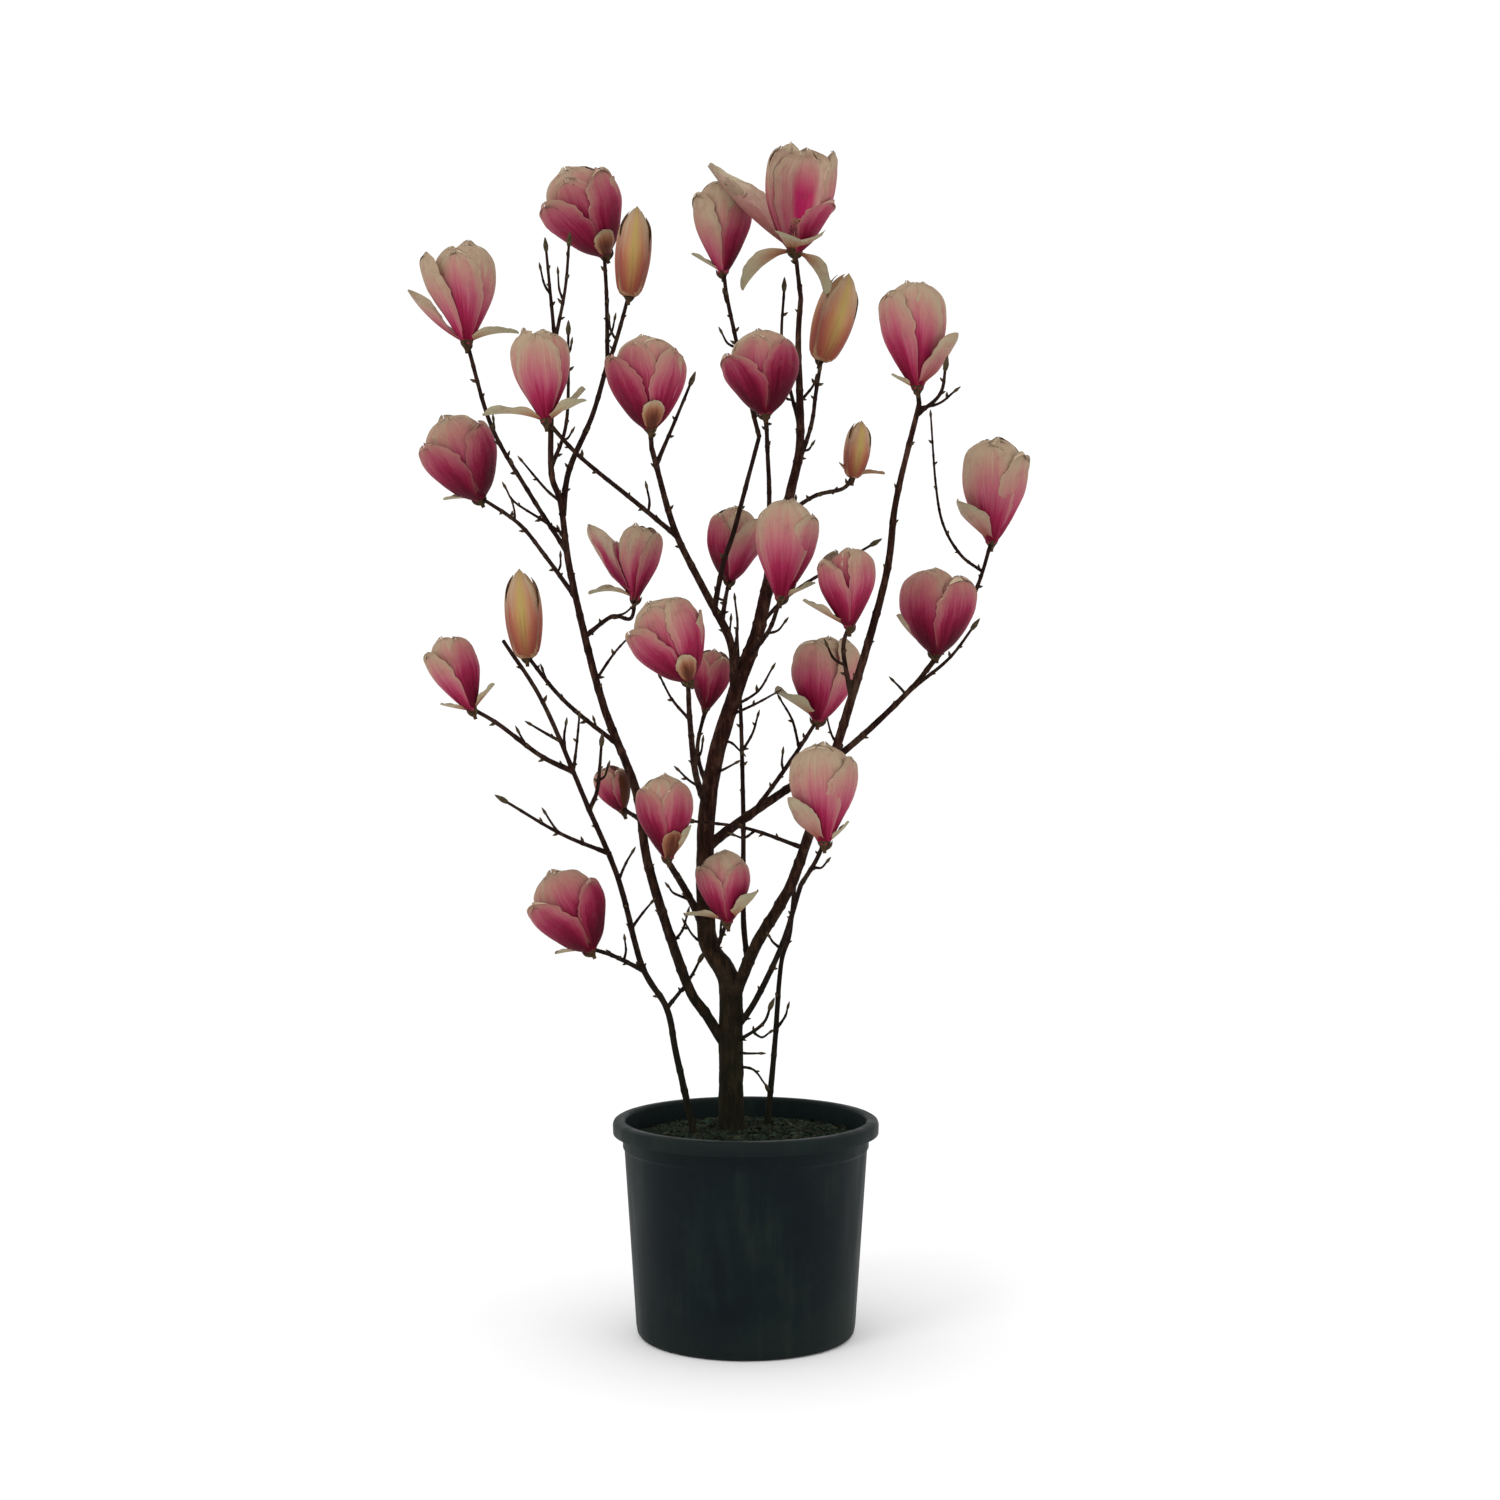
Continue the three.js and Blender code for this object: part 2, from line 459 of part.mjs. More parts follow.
// A bloom: one closed cup with a lobed rim and the hollow between its tepals
function bloomCup({ long, wide, open }) {
  const outer = CUP_HEIGHTS.map((height, i) => [
    THREE.MathUtils.lerp(CLOSED_CUP[i], OPEN_CUP[i], open) * (wide / 2),
    height * long,
  ]);
  const [belly, shoulder, rim] = outer.slice(-3);
  const inner = [
    [rim[0] - BLOOM_WALL, rim[1] - 2],
    [shoulder[0] - BLOOM_WALL, shoulder[1] - 2],
    [belly[0] - BLOOM_WALL, belly[1]],
    [0, CUP_FLOOR * long],
  ];
  const cup = turned([[0, 0], ...outer, ...inner], BLOOM_SIDES);
  const position = cup.attributes.position;
  for (let i = 0; i < position.count; i++) {
    const turn = Math.atan2(position.getY(i), position.getX(i));
    const height = position.getZ(i) / long;
    const fullness = Math.sin(Math.PI * Math.min(height, LOBES.fullest));
    const swell = 1 + LOBES.swell * Math.cos(0.5 * LOBES.count * turn) * fullness;
    const between = 0.5 - 0.5 * Math.cos(LOBES.count * turn + LOBES.turned);
    const notch = LOBES.cut * long * Math.max(0, height - LOBES.from) * between;
    position.setXYZ(i, position.getX(i) * swell, position.getY(i) * swell, position.getZ(i) - notch);
  }
  return cup;
}

// A bud: a closed spindle, widest below its middle and pointed at its top
function budSpindle({ long, wide }, sides) {
  const shape = [[0, 0], [0.2, 0], [0.62, 0.1], [1, 0.38], [0.86, 0.66], [0.42, 0.88], [0, 1]];
  return turned(shape.map(([width, height]) => [(width * wide) / 2, height * long]), sides);
}

// A loose tepal: a thin cupped blade that leaves the bloom's base low and bends up or over to its tip
function looseTepal(direction, droop, long) {
  const blade = new THREE.BoxGeometry(1, 1, 1, 3, 2, 1);
  const position = blade.attributes.position;
  const leave = THREE.MathUtils.degToRad(Math.max(TEPAL.leave, droop - TEPAL.curl));
  const bend = THREE.MathUtils.degToRad(droop) - leave;
  for (let i = 0; i < position.count; i++) {
    const along = position.getX(i) + 0.5;
    const side = 2 * position.getY(i);
    const wave = TEPAL_OUTLINE.start + TEPAL_OUTLINE.span * along ** TEPAL_OUTLINE.power;
    const fullness = Math.max(TEPAL_OUTLINE.narrowest, Math.sin(Math.PI * wave));
    const half = 0.5 * TEPAL.width * long * fullness;
    const mean = leave + bend * along;
    const slope = leave + 2 * bend * along;
    const raised = TEPAL.thickness * position.getZ(i) + TEPAL.cupping * half * side * side;
    const out = long * along * Math.sin(mean) - raised * Math.cos(slope);
    const up = long * (along * Math.cos(mean) + TEPAL.lift) + raised * Math.sin(slope);
    position.setXYZ(i, out, half * side, up);
  }
  return blade.rotateZ(THREE.MathUtils.degToRad(-direction));
}

// Turns what is made upright to a bloom's lean and nod, and sets it on its place
function seat(geometry, [across, up, deep], { lean, nod }) {
  const size = growAt(deep);
  const spot = stand([across, up, deep]);
  geometry.translate(0, 0, -CALYX_SINK).scale(size, size, size);
  geometry.rotateX(THREE.MathUtils.degToRad(-nod)).rotateY(THREE.MathUtils.degToRad(lean));
  return geometry.translate(spot.x, spot.y, spot.z);
}

function headParts(shoot) {
  const form = shoot.bloom ?? shoot.bud;
  const head = shoot.bloom ? bloomCup(form) : budSpindle(form, 8);
  const parts = [solidOf(seat(head, shoot.tip, form))];
  for (const [direction, droop, long] of shoot.loose ?? []) {
    parts.push(solidOf(seat(looseTepal(direction, droop, long), shoot.tip, form)));
  }
  return parts;
}

function winterBud(limb) {
  const bud = budSpindle(WINTER_BUD, WINTER_BUD.sides);
  const along = limb.curve.getTangentAt(1);
  bud.applyQuaternion(new THREE.Quaternion().setFromUnitVectors(new THREE.Vector3(0, 0, 1), along));
  const foot = limb.curve.getPointAt(1).addScaledVector(along, -WINTER_BUD.sunk * WINTER_BUD.long);
  return solidOf(bud.translate(foot.x, foot.y, foot.z));
}

// The inside of a bloom or bud, as balls along its axis
function rememberHead(owner, shoot) {
  const form = shoot.bloom ?? shoot.bud;
  const places = BLOOM_SHARES.map((share) => new THREE.Vector3(0, 0, share * form.long));
  const seated = seat(new THREE.BufferGeometry().setFromPoints(places), shoot.tip, form);
  places.forEach((_, i) => {
    const at = new THREE.Vector3().fromBufferAttribute(seated.attributes.position, i);
    obstacles.push({ owner, at, radius: form.wide / 2 });
  });
}

// A shoot in one piece, cut clear of every limb
function addShoot(name, parts) {
  let solid = parts.reduce((a, b) => a.add(b));
  for (const envelope of envelopes.values()) solid = solid.subtract(envelope);
  solids.set(name, largest(solid));
}

function growTree() {
  const trunk = new Limb([TRUNK.foot, ...TRUNK.via, TRUNK.tip]);
  limbs.set("trunk", trunk);
  addLimb("trunk", trunk, trunkRadius(trunk), TRUNK.sides, TRUNK.steps);
  remember("trunk", trunk.curve, TRUNK.girth[1][1]);
  for (const bough of BOUGHS) {
    const limb = limbOf(bough);
    const steps = Math.max(4, Math.round(limb.length / BOUGH_STEP));
    addLimb(bough.name, limb, taper(bough, ...bough.radius, limb.length), BOUGH_SIDES, steps);
    limbs.set(bough.name, limb);
    remember(bough.name, limb.curve, bough.radius[0]);
  }
  const shoots = [
    ...SHOOTS.map((spec) => ({ spec, owner: "flowering_shoot_" + spec.name, sizes: STEM })),
    ...BARE_SHOOTS.map((spec) => ({ spec, owner: "bare_shoot_" + spec.name, sizes: BARE_STEM })),
  ];
  for (const shoot of shoots) {
    shoot.limb = limbOf(shoot.spec);
    shoot.bears = shoot.spec.bloom || shoot.spec.bud;
    remember(shoot.owner, shoot.limb.curve, shoot.sizes.foot);
    if (shoot.bears) rememberHead(shoot.owner, shoot.spec);
  }
  shoots.forEach(({ spec, owner, sizes, limb, bears }, index) => {
    const parts = stemParts(owner, spec, limb, sizes, index + 1);
    if (bears) parts.push(...headParts(spec));
    else parts.push(winterBud(limb));
    addShoot(owner, parts);
  });
}

// Materials
const POT_PLASTIC = new THREE.MeshStandardMaterial({ color: "#1f2728", roughness: 0.6, metalness: 0 });
const POTTING_MIX = new THREE.MeshStandardMaterial({ color: "#241c15", roughness: 0.95, metalness: 0 });
const BARK = new THREE.MeshStandardMaterial({ color: "#3d2a22", roughness: 0.85, metalness: 0 });
const TWIG_BARK = new THREE.MeshStandardMaterial({ color: "#32231e", roughness: 0.8, metalness: 0 });
const BLOSSOM = new THREE.MeshStandardMaterial({ color: "#c26c7e", roughness: 0.55, metalness: 0 });

function materialOf(name) {
  if (name.startsWith("flowering")) return BLOSSOM;
  if (name.startsWith("bare")) return TWIG_BARK;
  return BARK;
}

function meshOf(name, solid, material) {
  const mesh = new THREE.Mesh(geometryOf(solid), material);
  mesh.name = name;
  return mesh;
}

growTree();
const magnolia = new THREE.Group();
magnolia.name = "potted_saucer_magnolia";
magnolia.add(meshOf("pot", makePot(), POT_PLASTIC));
magnolia.add(meshOf("potting_soil", makeSoil(), POTTING_MIX));
for (const [name, solid] of solids) magnolia.add(meshOf(name, solid, materialOf(name)));

export default magnolia;
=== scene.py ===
import bmesh
import bpy
import numpy as np
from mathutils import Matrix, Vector


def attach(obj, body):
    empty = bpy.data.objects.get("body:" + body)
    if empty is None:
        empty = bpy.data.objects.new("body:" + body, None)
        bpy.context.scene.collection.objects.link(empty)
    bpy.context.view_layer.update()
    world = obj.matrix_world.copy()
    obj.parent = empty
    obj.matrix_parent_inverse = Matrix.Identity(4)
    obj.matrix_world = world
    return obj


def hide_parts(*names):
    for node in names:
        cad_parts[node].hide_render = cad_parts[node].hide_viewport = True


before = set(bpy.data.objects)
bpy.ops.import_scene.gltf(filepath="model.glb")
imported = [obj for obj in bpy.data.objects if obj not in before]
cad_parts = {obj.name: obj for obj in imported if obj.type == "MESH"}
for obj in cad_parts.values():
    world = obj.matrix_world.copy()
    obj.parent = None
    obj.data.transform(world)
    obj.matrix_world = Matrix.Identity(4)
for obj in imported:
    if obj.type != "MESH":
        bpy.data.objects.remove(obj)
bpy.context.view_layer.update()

MM = 0.001
GOLDEN_ANGLE = 2.39996
CIRCLE = 2 * np.pi

# The pot and its soil
POT_HEIGHT = 259
RIM_RADIUS = 160
COLLAR_RADIUS = 148
FOOT_RADIUS = 132
WALL = 3
FLOOR = 6
LIP_DROP = 17
LIP_THICKNESS = 5
COLLAR_HEIGHT = 36
COLLAR_FOOT = POT_HEIGHT - COLLAR_HEIGHT
COLLAR_INSIDE = COLLAR_RADIUS - WALL
# How far the corners of the collar are cut back, across and up
CHAMFER = (2, 3)
FOOT_GROOVE = {"inner": 30, "outer": 112, "depth": 3, "slope": 3}
# The rounding of the pot's foot, as [how far inside the foot's radius, how high], and of its lip, as [how
# far inside the rim's radius, how far below its top]
FOOT_ROUNDING = [[8, 0], [3.7, 1.3], [1.4, 4.6], [0, 13]]
LIP_ROUNDING = [[4, LIP_THICKNESS], [2.6, LIP_DROP], [0.4, LIP_DROP], [0, 6], [1.3, 2], [5, 0]]
DRAIN_HOLES = {"count": 8, "radius": 7, "at": 94, "sides": 24}
POT_SIDES = 160
# The bevel goes on corners sharper than from_angle, and they look sharp from sharp_from, in degrees
POT_BEVEL = {"width": 0.9, "from_angle": 26, "sharp_from": 32}
# How far from its middle a turned shape starts
PINHOLE = 0.5
SOIL = {"top": 240, "fall": 7, "flat_radius": 80, "gap": 0.5, "rings": 64, "sides": 200, "highest": 3.2}
# Each wave: its height, its wavelength and its seed
SOIL_WAVES = [[2.4, 34, 5], [1.5, 13, 6], [0.9, 5, 7]]
# What lies on the soil: sizes are [long, wide, thick], and tilt is in radians
LITTER = {
    "bark_chips": dict(count=620, smallest=[5, 3, 1.2], largest=[15, 8, 3.4], subdivisions=2, boxy=0.6,
                       tilt=0.35, seed=21),
    "soil_crumbs": dict(count=2600, smallest=[2, 2, 1.6], largest=[5.5, 5, 4], subdivisions=1, boxy=0.9,
                        tilt=1.5, seed=22),
}
# How far the litter keeps from the wall, how high its middles lie over the soil, and how uneven it is
STREWN = {"from_wall": 4, "lowest": -0.2, "highest": 1.6, "jitter": 0.22}
# How far it keeps from the middle of the trunk and of the stems that rise beside that
STEM_CLEARANCE = {"trunk": 21, "stem": 5}
FLARE = {"spread": 0.4, "height": 13, "ribs": 5, "rib_depth": 0.1}

# The tree is laid out as someone in front of it sees it. A place is [across, up, deep]: across and up are
# where it is seen, measured on a plane through the middle of the tree and square to the line of sight, and
# deep is how far behind the pot's middle it stands.
EYE = np.array([0.0, -2800.0, 760.0])
AIM = np.array([5.0, 0.0, 702.0])
PICTURE_SIZE = 1500
PICTURE_MM = 1.2

TRUNK = {
    "foot": [-17, 215, 34],
    "via": [[-18, 354, 28], [-20, 424, 24], [-43, 466, 20], [-48, 506, 18], [-48, 606, 12], [-36, 694, 6]],
    "tip": [-5, 794, 0],
    "girth": [[215, 15.4], [405, 14.4], [466, 11.4], [794, 9.2]],
}

# Each bough: the limb it leaves and at what height, or its foot in the soil, then the places it passes,
# its tip, and its radius at both ends. LEADER_BLEND is how soon the leader has its own radius.
LEADER_BLEND = 60
BOUGHS = [
    dict(name="leader", of="trunk", leaves=794, radius=[8.4, 3], tip=[66, 1244, 38],
         via=[[13, 840, 2], [24, 889, 4], [53, 1009, 12], [65, 1073, 18], [63, 1190, 30]]),
    dict(name="bough_fork_left", of="trunk", leaves=770, radius=[5.4, 3], tip=[-113, 1064, -146],
         via=[[-19, 833, -22], [-51, 896, -48], [-86, 968, -88]]),
    dict(name="bough_right_long", of="trunk", leaves=398, radius=[7.6, 3], tip=[208, 1117, -150],
         via=[[12, 467, -10], [42, 518, -34], [63, 563, -50], [111, 712, -84], [166, 901, -112],
              [180, 1000, -130]]),
    dict(name="bough_left_long", of="trunk", leaves=338, radius=[6.6, 3], tip=[-230, 1202, 92],
         via=[[-47, 384, 20], [-72, 425, 10], [-116, 560, 22], [-132, 654, 36], [-173, 762, 48],
              [-210, 913, 64], [-222, 998, 74], [-234, 1046, 80]]),
    dict(name="bough_right_spreading", of="trunk", leaves=584, radius=[6.2, 3], tip=[223, 805, 116],
         via=[[-7, 616, 34], [54, 658, 58], [120, 702, 86], [192, 769, 106]]),
    dict(name="bough_right_low", of="trunk", leaves=360, radius=[4, 2.8], tip=[66, 540, -100],
         via=[[9, 397, 4], [43, 467, -44]]),
    dict(name="bough_left_short", of="trunk", leaves=484, radius=[5.2, 3.6], tip=[-92, 566, -82],
         via=[[-72, 533, -28]]),
    dict(name="bough_inner_left", of="trunk", leaves=632, radius=[4.4, 2.8], tip=[-69, 776, -124],
         via=[[-60, 672, -30], [-67, 735, -86]]),
    dict(name="bough_centre_upright", of="bough_right_long", leaves=446, radius=[3.6, 2],
         via=[[-3, 503, 30], [-3, 620, 64], [-6, 743, 74]], tip=[-11, 846, 66]),
    dict(name="bough_top_left", of="bough_left_long", leaves=984, radius=[3.8, 2.9],
         via=[[-212, 1038, 90], [-184, 1104, 122]], tip=[-166, 1166, 148]),
    dict(name="bough_high_centre", of="bough_fork_left", leaves=872, radius=[3.2, 2.5],
         via=[[-27, 926, -34], [-15, 962, -28], [-1, 1014, -14]], tip=[16, 1078, 26]),
    dict(name="bough_upright_back", of="leader", leaves=878, radius=[3.6, 2.6],
         via=[[27, 940, 40], [28, 1010, 50]], tip=[26, 1060, 26]),
    dict(name="basal_stem_left", foot=[-56, 215, -4], radius=[4.4, 2.2], tip=[-291, 833, -236],
         via=[[-83, 335, -8], [-95, 392, -12], [-125, 444, -34], [-153, 547, -88], [-190, 635, -132],
              [-243, 758, -190]]),
    dict(name="basal_stem_right", foot=[22, 215, 56], radius=[4, 2.4], tip=[60, 560, 132], budded=True,
         via=[[34, 340, 70], [42, 443, 92], [53, 484, 104]]),
]

# Flowering shoots: the limb each leaves and at what height, the places it passes, and the base of its
# bloom. A head's lean is in degrees to the right, its nod in degrees away from the viewer, open runs from
# 0, a closed goblet, to 1, a wide cup, slim from 0, a full foot, to 1, and pale from 0, deep pink, to 1.
# A loose tepal is [direction, droop, length], and its breadth as a share of that where it isn't the usual
# one: direction in degrees round the bloom from its right side towards the viewer, droop in degrees from
# the bloom's axis to the tepal's tip. A patch is a short outer tepal pressed to the goblet's foot:
# [direction, how high its tip reaches, breadth, from 0, brown, to 1, cream].
SHOOTS = [
    dict(name="01", of="leader", leaves=1244, tip=[59, 1302, 22],
         bloom=dict(long=127, wide=92, open=0.5, lean=4, nod=0, slim=0.1, pale=0.35),
         loose=[[208, 50, 164, 0.5], [208, 124, 82, 0.46], [-28, 134, 64, 0.5], [84, 88, 56, 1.1]]),
    dict(name="02", of="bough_high_centre", leaves=1078, via=[[5, 1122, 56], [-20, 1232, 92]],
         tip=[-27, 1278, 104],
         bloom=dict(long=108, wide=71, open=0.2, lean=0, nod=-4, slim=0.6, pale=0.85),
         loose=[[184, 60, 44]]),
    dict(name="03", of="bough_top_left", leaves=1166, via=[[-167, 1242, 180]], tip=[-170, 1299, 196],
         bloom=dict(long=109, wide=95, open=0.1, lean=-24, nod=-6, slim=0.1, pale=0.3),
         loose=[[24, 33, 90, 0.34]], patch=[76, 0.24, 0.15, 0.6]),
    dict(name="04", of="bough_top_left", leaves=1150, via=[[-155, 1195, 134]], tip=[-140, 1250, 120],
         bud=dict(long=110, wide=43, lean=5, nod=4, turn=84)),
    dict(name="05", of="bough_left_long", leaves=940, via=[[-259, 1009, 12], [-305, 1090, -48]],
         tip=[-335, 1192, -84],
         bloom=dict(long=117, wide=84, open=0.45, lean=-2, nod=6, slim=0.8, pale=0.75),
         loose=[[200, 46, 106, 0.4], [4, 82, 64]]),
    dict(name="06", of="bough_fork_left", leaves=958, via=[[-133, 1000, -118], [-199, 1054, -166]],
         tip=[-240, 1098, -190],
         bloom=dict(long=110, wide=76, open=0.3, lean=-5, nod=8, slim=0.9, pale=0.55),
         loose=[[178, 80, 76], [-14, 52, 64], [22, 74, 58]]),
    dict(name="07", of="bough_fork_left", leaves=1064, tip=[-115, 1090, -160],
         bloom=dict(long=111, wide=96, open=0.12, lean=-3, nod=6, slim=0.3, pale=0.3),
         loose=[[28, 31, 92, 0.34]], patch=[76, 0.26, 0.15, 0.6]),
    dict(name="08", of="bough_upright_back", leaves=1060, via=[[25, 1088, -14]], tip=[24, 1108, -50],
         bloom=dict(long=100, wide=90, open=0.1, lean=-4, nod=6, slim=0.1, pale=0.3)),
    dict(name="09", of="leader", leaves=1032, via=[[78, 1090, 74], [84, 1130, 106]], tip=[91, 1173, 134],
         bud=dict(long=109, wide=49, lean=17, nod=-4, turn=70)),
    dict(name="10", of="bough_right_long", leaves=1117, tip=[206, 1138, -158],
         bloom=dict(long=127, wide=86, open=0.2, lean=-2, nod=6, slim=0.8, pale=0.6),
         loose=[[30, 44, 80, 0.56], [182, 58, 36]]),
    dict(name="11", of="leader", leaves=984, via=[[83, 1007, 68], [117, 1016, 104]], tip=[129, 1033, 122],
         bud=dict(long=69, wide=32, lean=8, nod=-5, turn=80), loose=[[180, 52, 24], [0, 78, 38]]),
    dict(name="12", of="bough_left_long", leaves=884, via=[[-243, 938, 104], [-273, 974, 132]],
         tip=[-320, 1006, 166],
         bloom=dict(long=104, wide=88, open=0.1, lean=-22, nod=-8, slim=0, pale=0.2),
         loose=[[185, 70, 44]]),
    dict(name="13", of="bough_right_spreading", leaves=797, via=[[257, 852, 172], [280, 904, 200]],
         tip=[295, 954, 222],
         bloom=dict(long=123, wide=84, open=0.2, lean=1, nod=-8, slim=0.6, pale=0.6),
         loose=[[144, 48, 74, 0.6]],
         side=dict(leaves=916, via=[[258, 936, 202], [237, 972, 200], [228, 1020, 200]],
                   tip=[222, 1102, 204])),
    dict(name="14", of="bough_fork_left", leaves=856, via=[[-24, 886, 2]], tip=[-19, 908, 34],
         bloom=dict(long=88, wide=64, open=0.1, lean=4, nod=-2, slim=0, pale=0.25)),
    dict(name="15", of="leader", leaves=812, via=[[28, 846, -52]], tip=[42, 886, -104],
         bloom=dict(long=119, wide=80, open=0.12, lean=5, nod=8, slim=0.8, pale=0.65),
         loose=[[0, 60, 46]]),
    dict(name="16", of="bough_left_long", leaves=838, via=[[-161, 862, 94], [-138, 860, 126]],
         tip=[-133, 886, 140],
         bloom=dict(long=90, wide=58, open=0.35, lean=5, nod=-6, slim=0.8, pale=0.6),
         loose=[[207, 42, 108, 0.5], [184, 90, 56]]),
    dict(name="17", of="bough_right_long", leaves=764, via=[[117, 822, -118]], tip=[124, 852, -132],
         bloom=dict(long=96, wide=70, open=0.15, lean=-2, nod=8, slim=0.7, pale=0.35),
         loose=[[180, 58, 64]]),
    dict(name="18", of="bough_right_spreading", leaves=805, tip=[229, 820, 110],
         bloom=dict(long=102, wide=93, open=0.1, lean=0, nod=0, slim=0.2, pale=0.12),
         loose=[[182, 46, 66]]),
    dict(name="19", of="bough_left_long", leaves=708, via=[[-200, 745, 4], [-230, 774, -30]],
         tip=[-263, 816, -62], bud=dict(long=109, wide=45, lean=-5, nod=5, turn=90)),
    dict(name="20", of="bough_inner_left", leaves=776, tip=[-69, 788, -136],
         bloom=dict(long=105, wide=92, open=0.12, lean=-25, nod=10, slim=0.1, pale=0.42),
         loose=[[20, 37, 84, 0.34]], patch=[78, 0.25, 0.15, 0.6]),
    dict(name="21", of="basal_stem_left", leaves=676, via=[[-246, 695, -164], [-297, 733, -190]],
         tip=[-329, 752, -200],
         bloom=dict(long=94, wide=60, open=0.2, lean=-21, nod=4, slim=0.6, pale=0.2),
         loose=[[8, 62, 42], [186, 58, 40]]),
    dict(name="22", of="trunk", leaves=650, via=[[-58, 700, 46]], tip=[-48, 754, 64],
         bloom=dict(long=73, wide=50, open=0.1, lean=10, nod=-6, slim=0.6, pale=0.0)),
    dict(name="23", of="bough_right_spreading", leaves=628, via=[[42, 672, 30], [64, 704, 30]],
         tip=[87, 740, 28],
         bloom=dict(long=101, wide=84, open=0.2, lean=6, nod=0, slim=0.4, pale=0.45),
         loose=[[160, 64, 66, 0.7]]),
    dict(name="24", of="bough_left_long", leaves=618, tip=[-149, 632, 70],
         bloom=dict(long=58, wide=44, open=0.05, lean=-22, nod=-8, slim=0.4, pale=-0.1),
         patch=[36, 0.86, 0.36, 0.04]),
    dict(name="25", of="bough_right_low", leaves=540, via=[[84, 569, -128]], tip=[94, 592, -146],
         bloom=dict(long=119, wide=88, open=0.15, lean=-2, nod=6, slim=0.9, pale=0.65),
         loose=[[146, 43, 74, 0.56], [4, 50, 40]]),
    dict(name="26", of="bough_left_short", leaves=566, tip=[-93, 575, -94],
         bloom=dict(long=100, wide=71, open=0.12, lean=-4, nod=8, slim=0.7, pale=0.35),
         loose=[[16, 40, 48]], patch=[66, 0.32, 0.2, 0.18]),
    dict(name="27", of="trunk", leaves=456, tip=[-22, 498, -48],
         bloom=dict(long=86, wide=66, open=0.2, lean=-5, nod=8, slim=0.4, pale=0.25),
         loose=[[182, 76, 52], [28, 54, 56, 0.6]]),
    dict(name="28", of="basal_stem_left", leaves=437, via=[[-159, 455, -92]], tip=[-187, 464, -118],
         bloom=dict(long=104, wide=89, open=0.12, lean=-26, nod=4, slim=0, pale=0.1),
         loose=[[185, 70, 44]]),
]

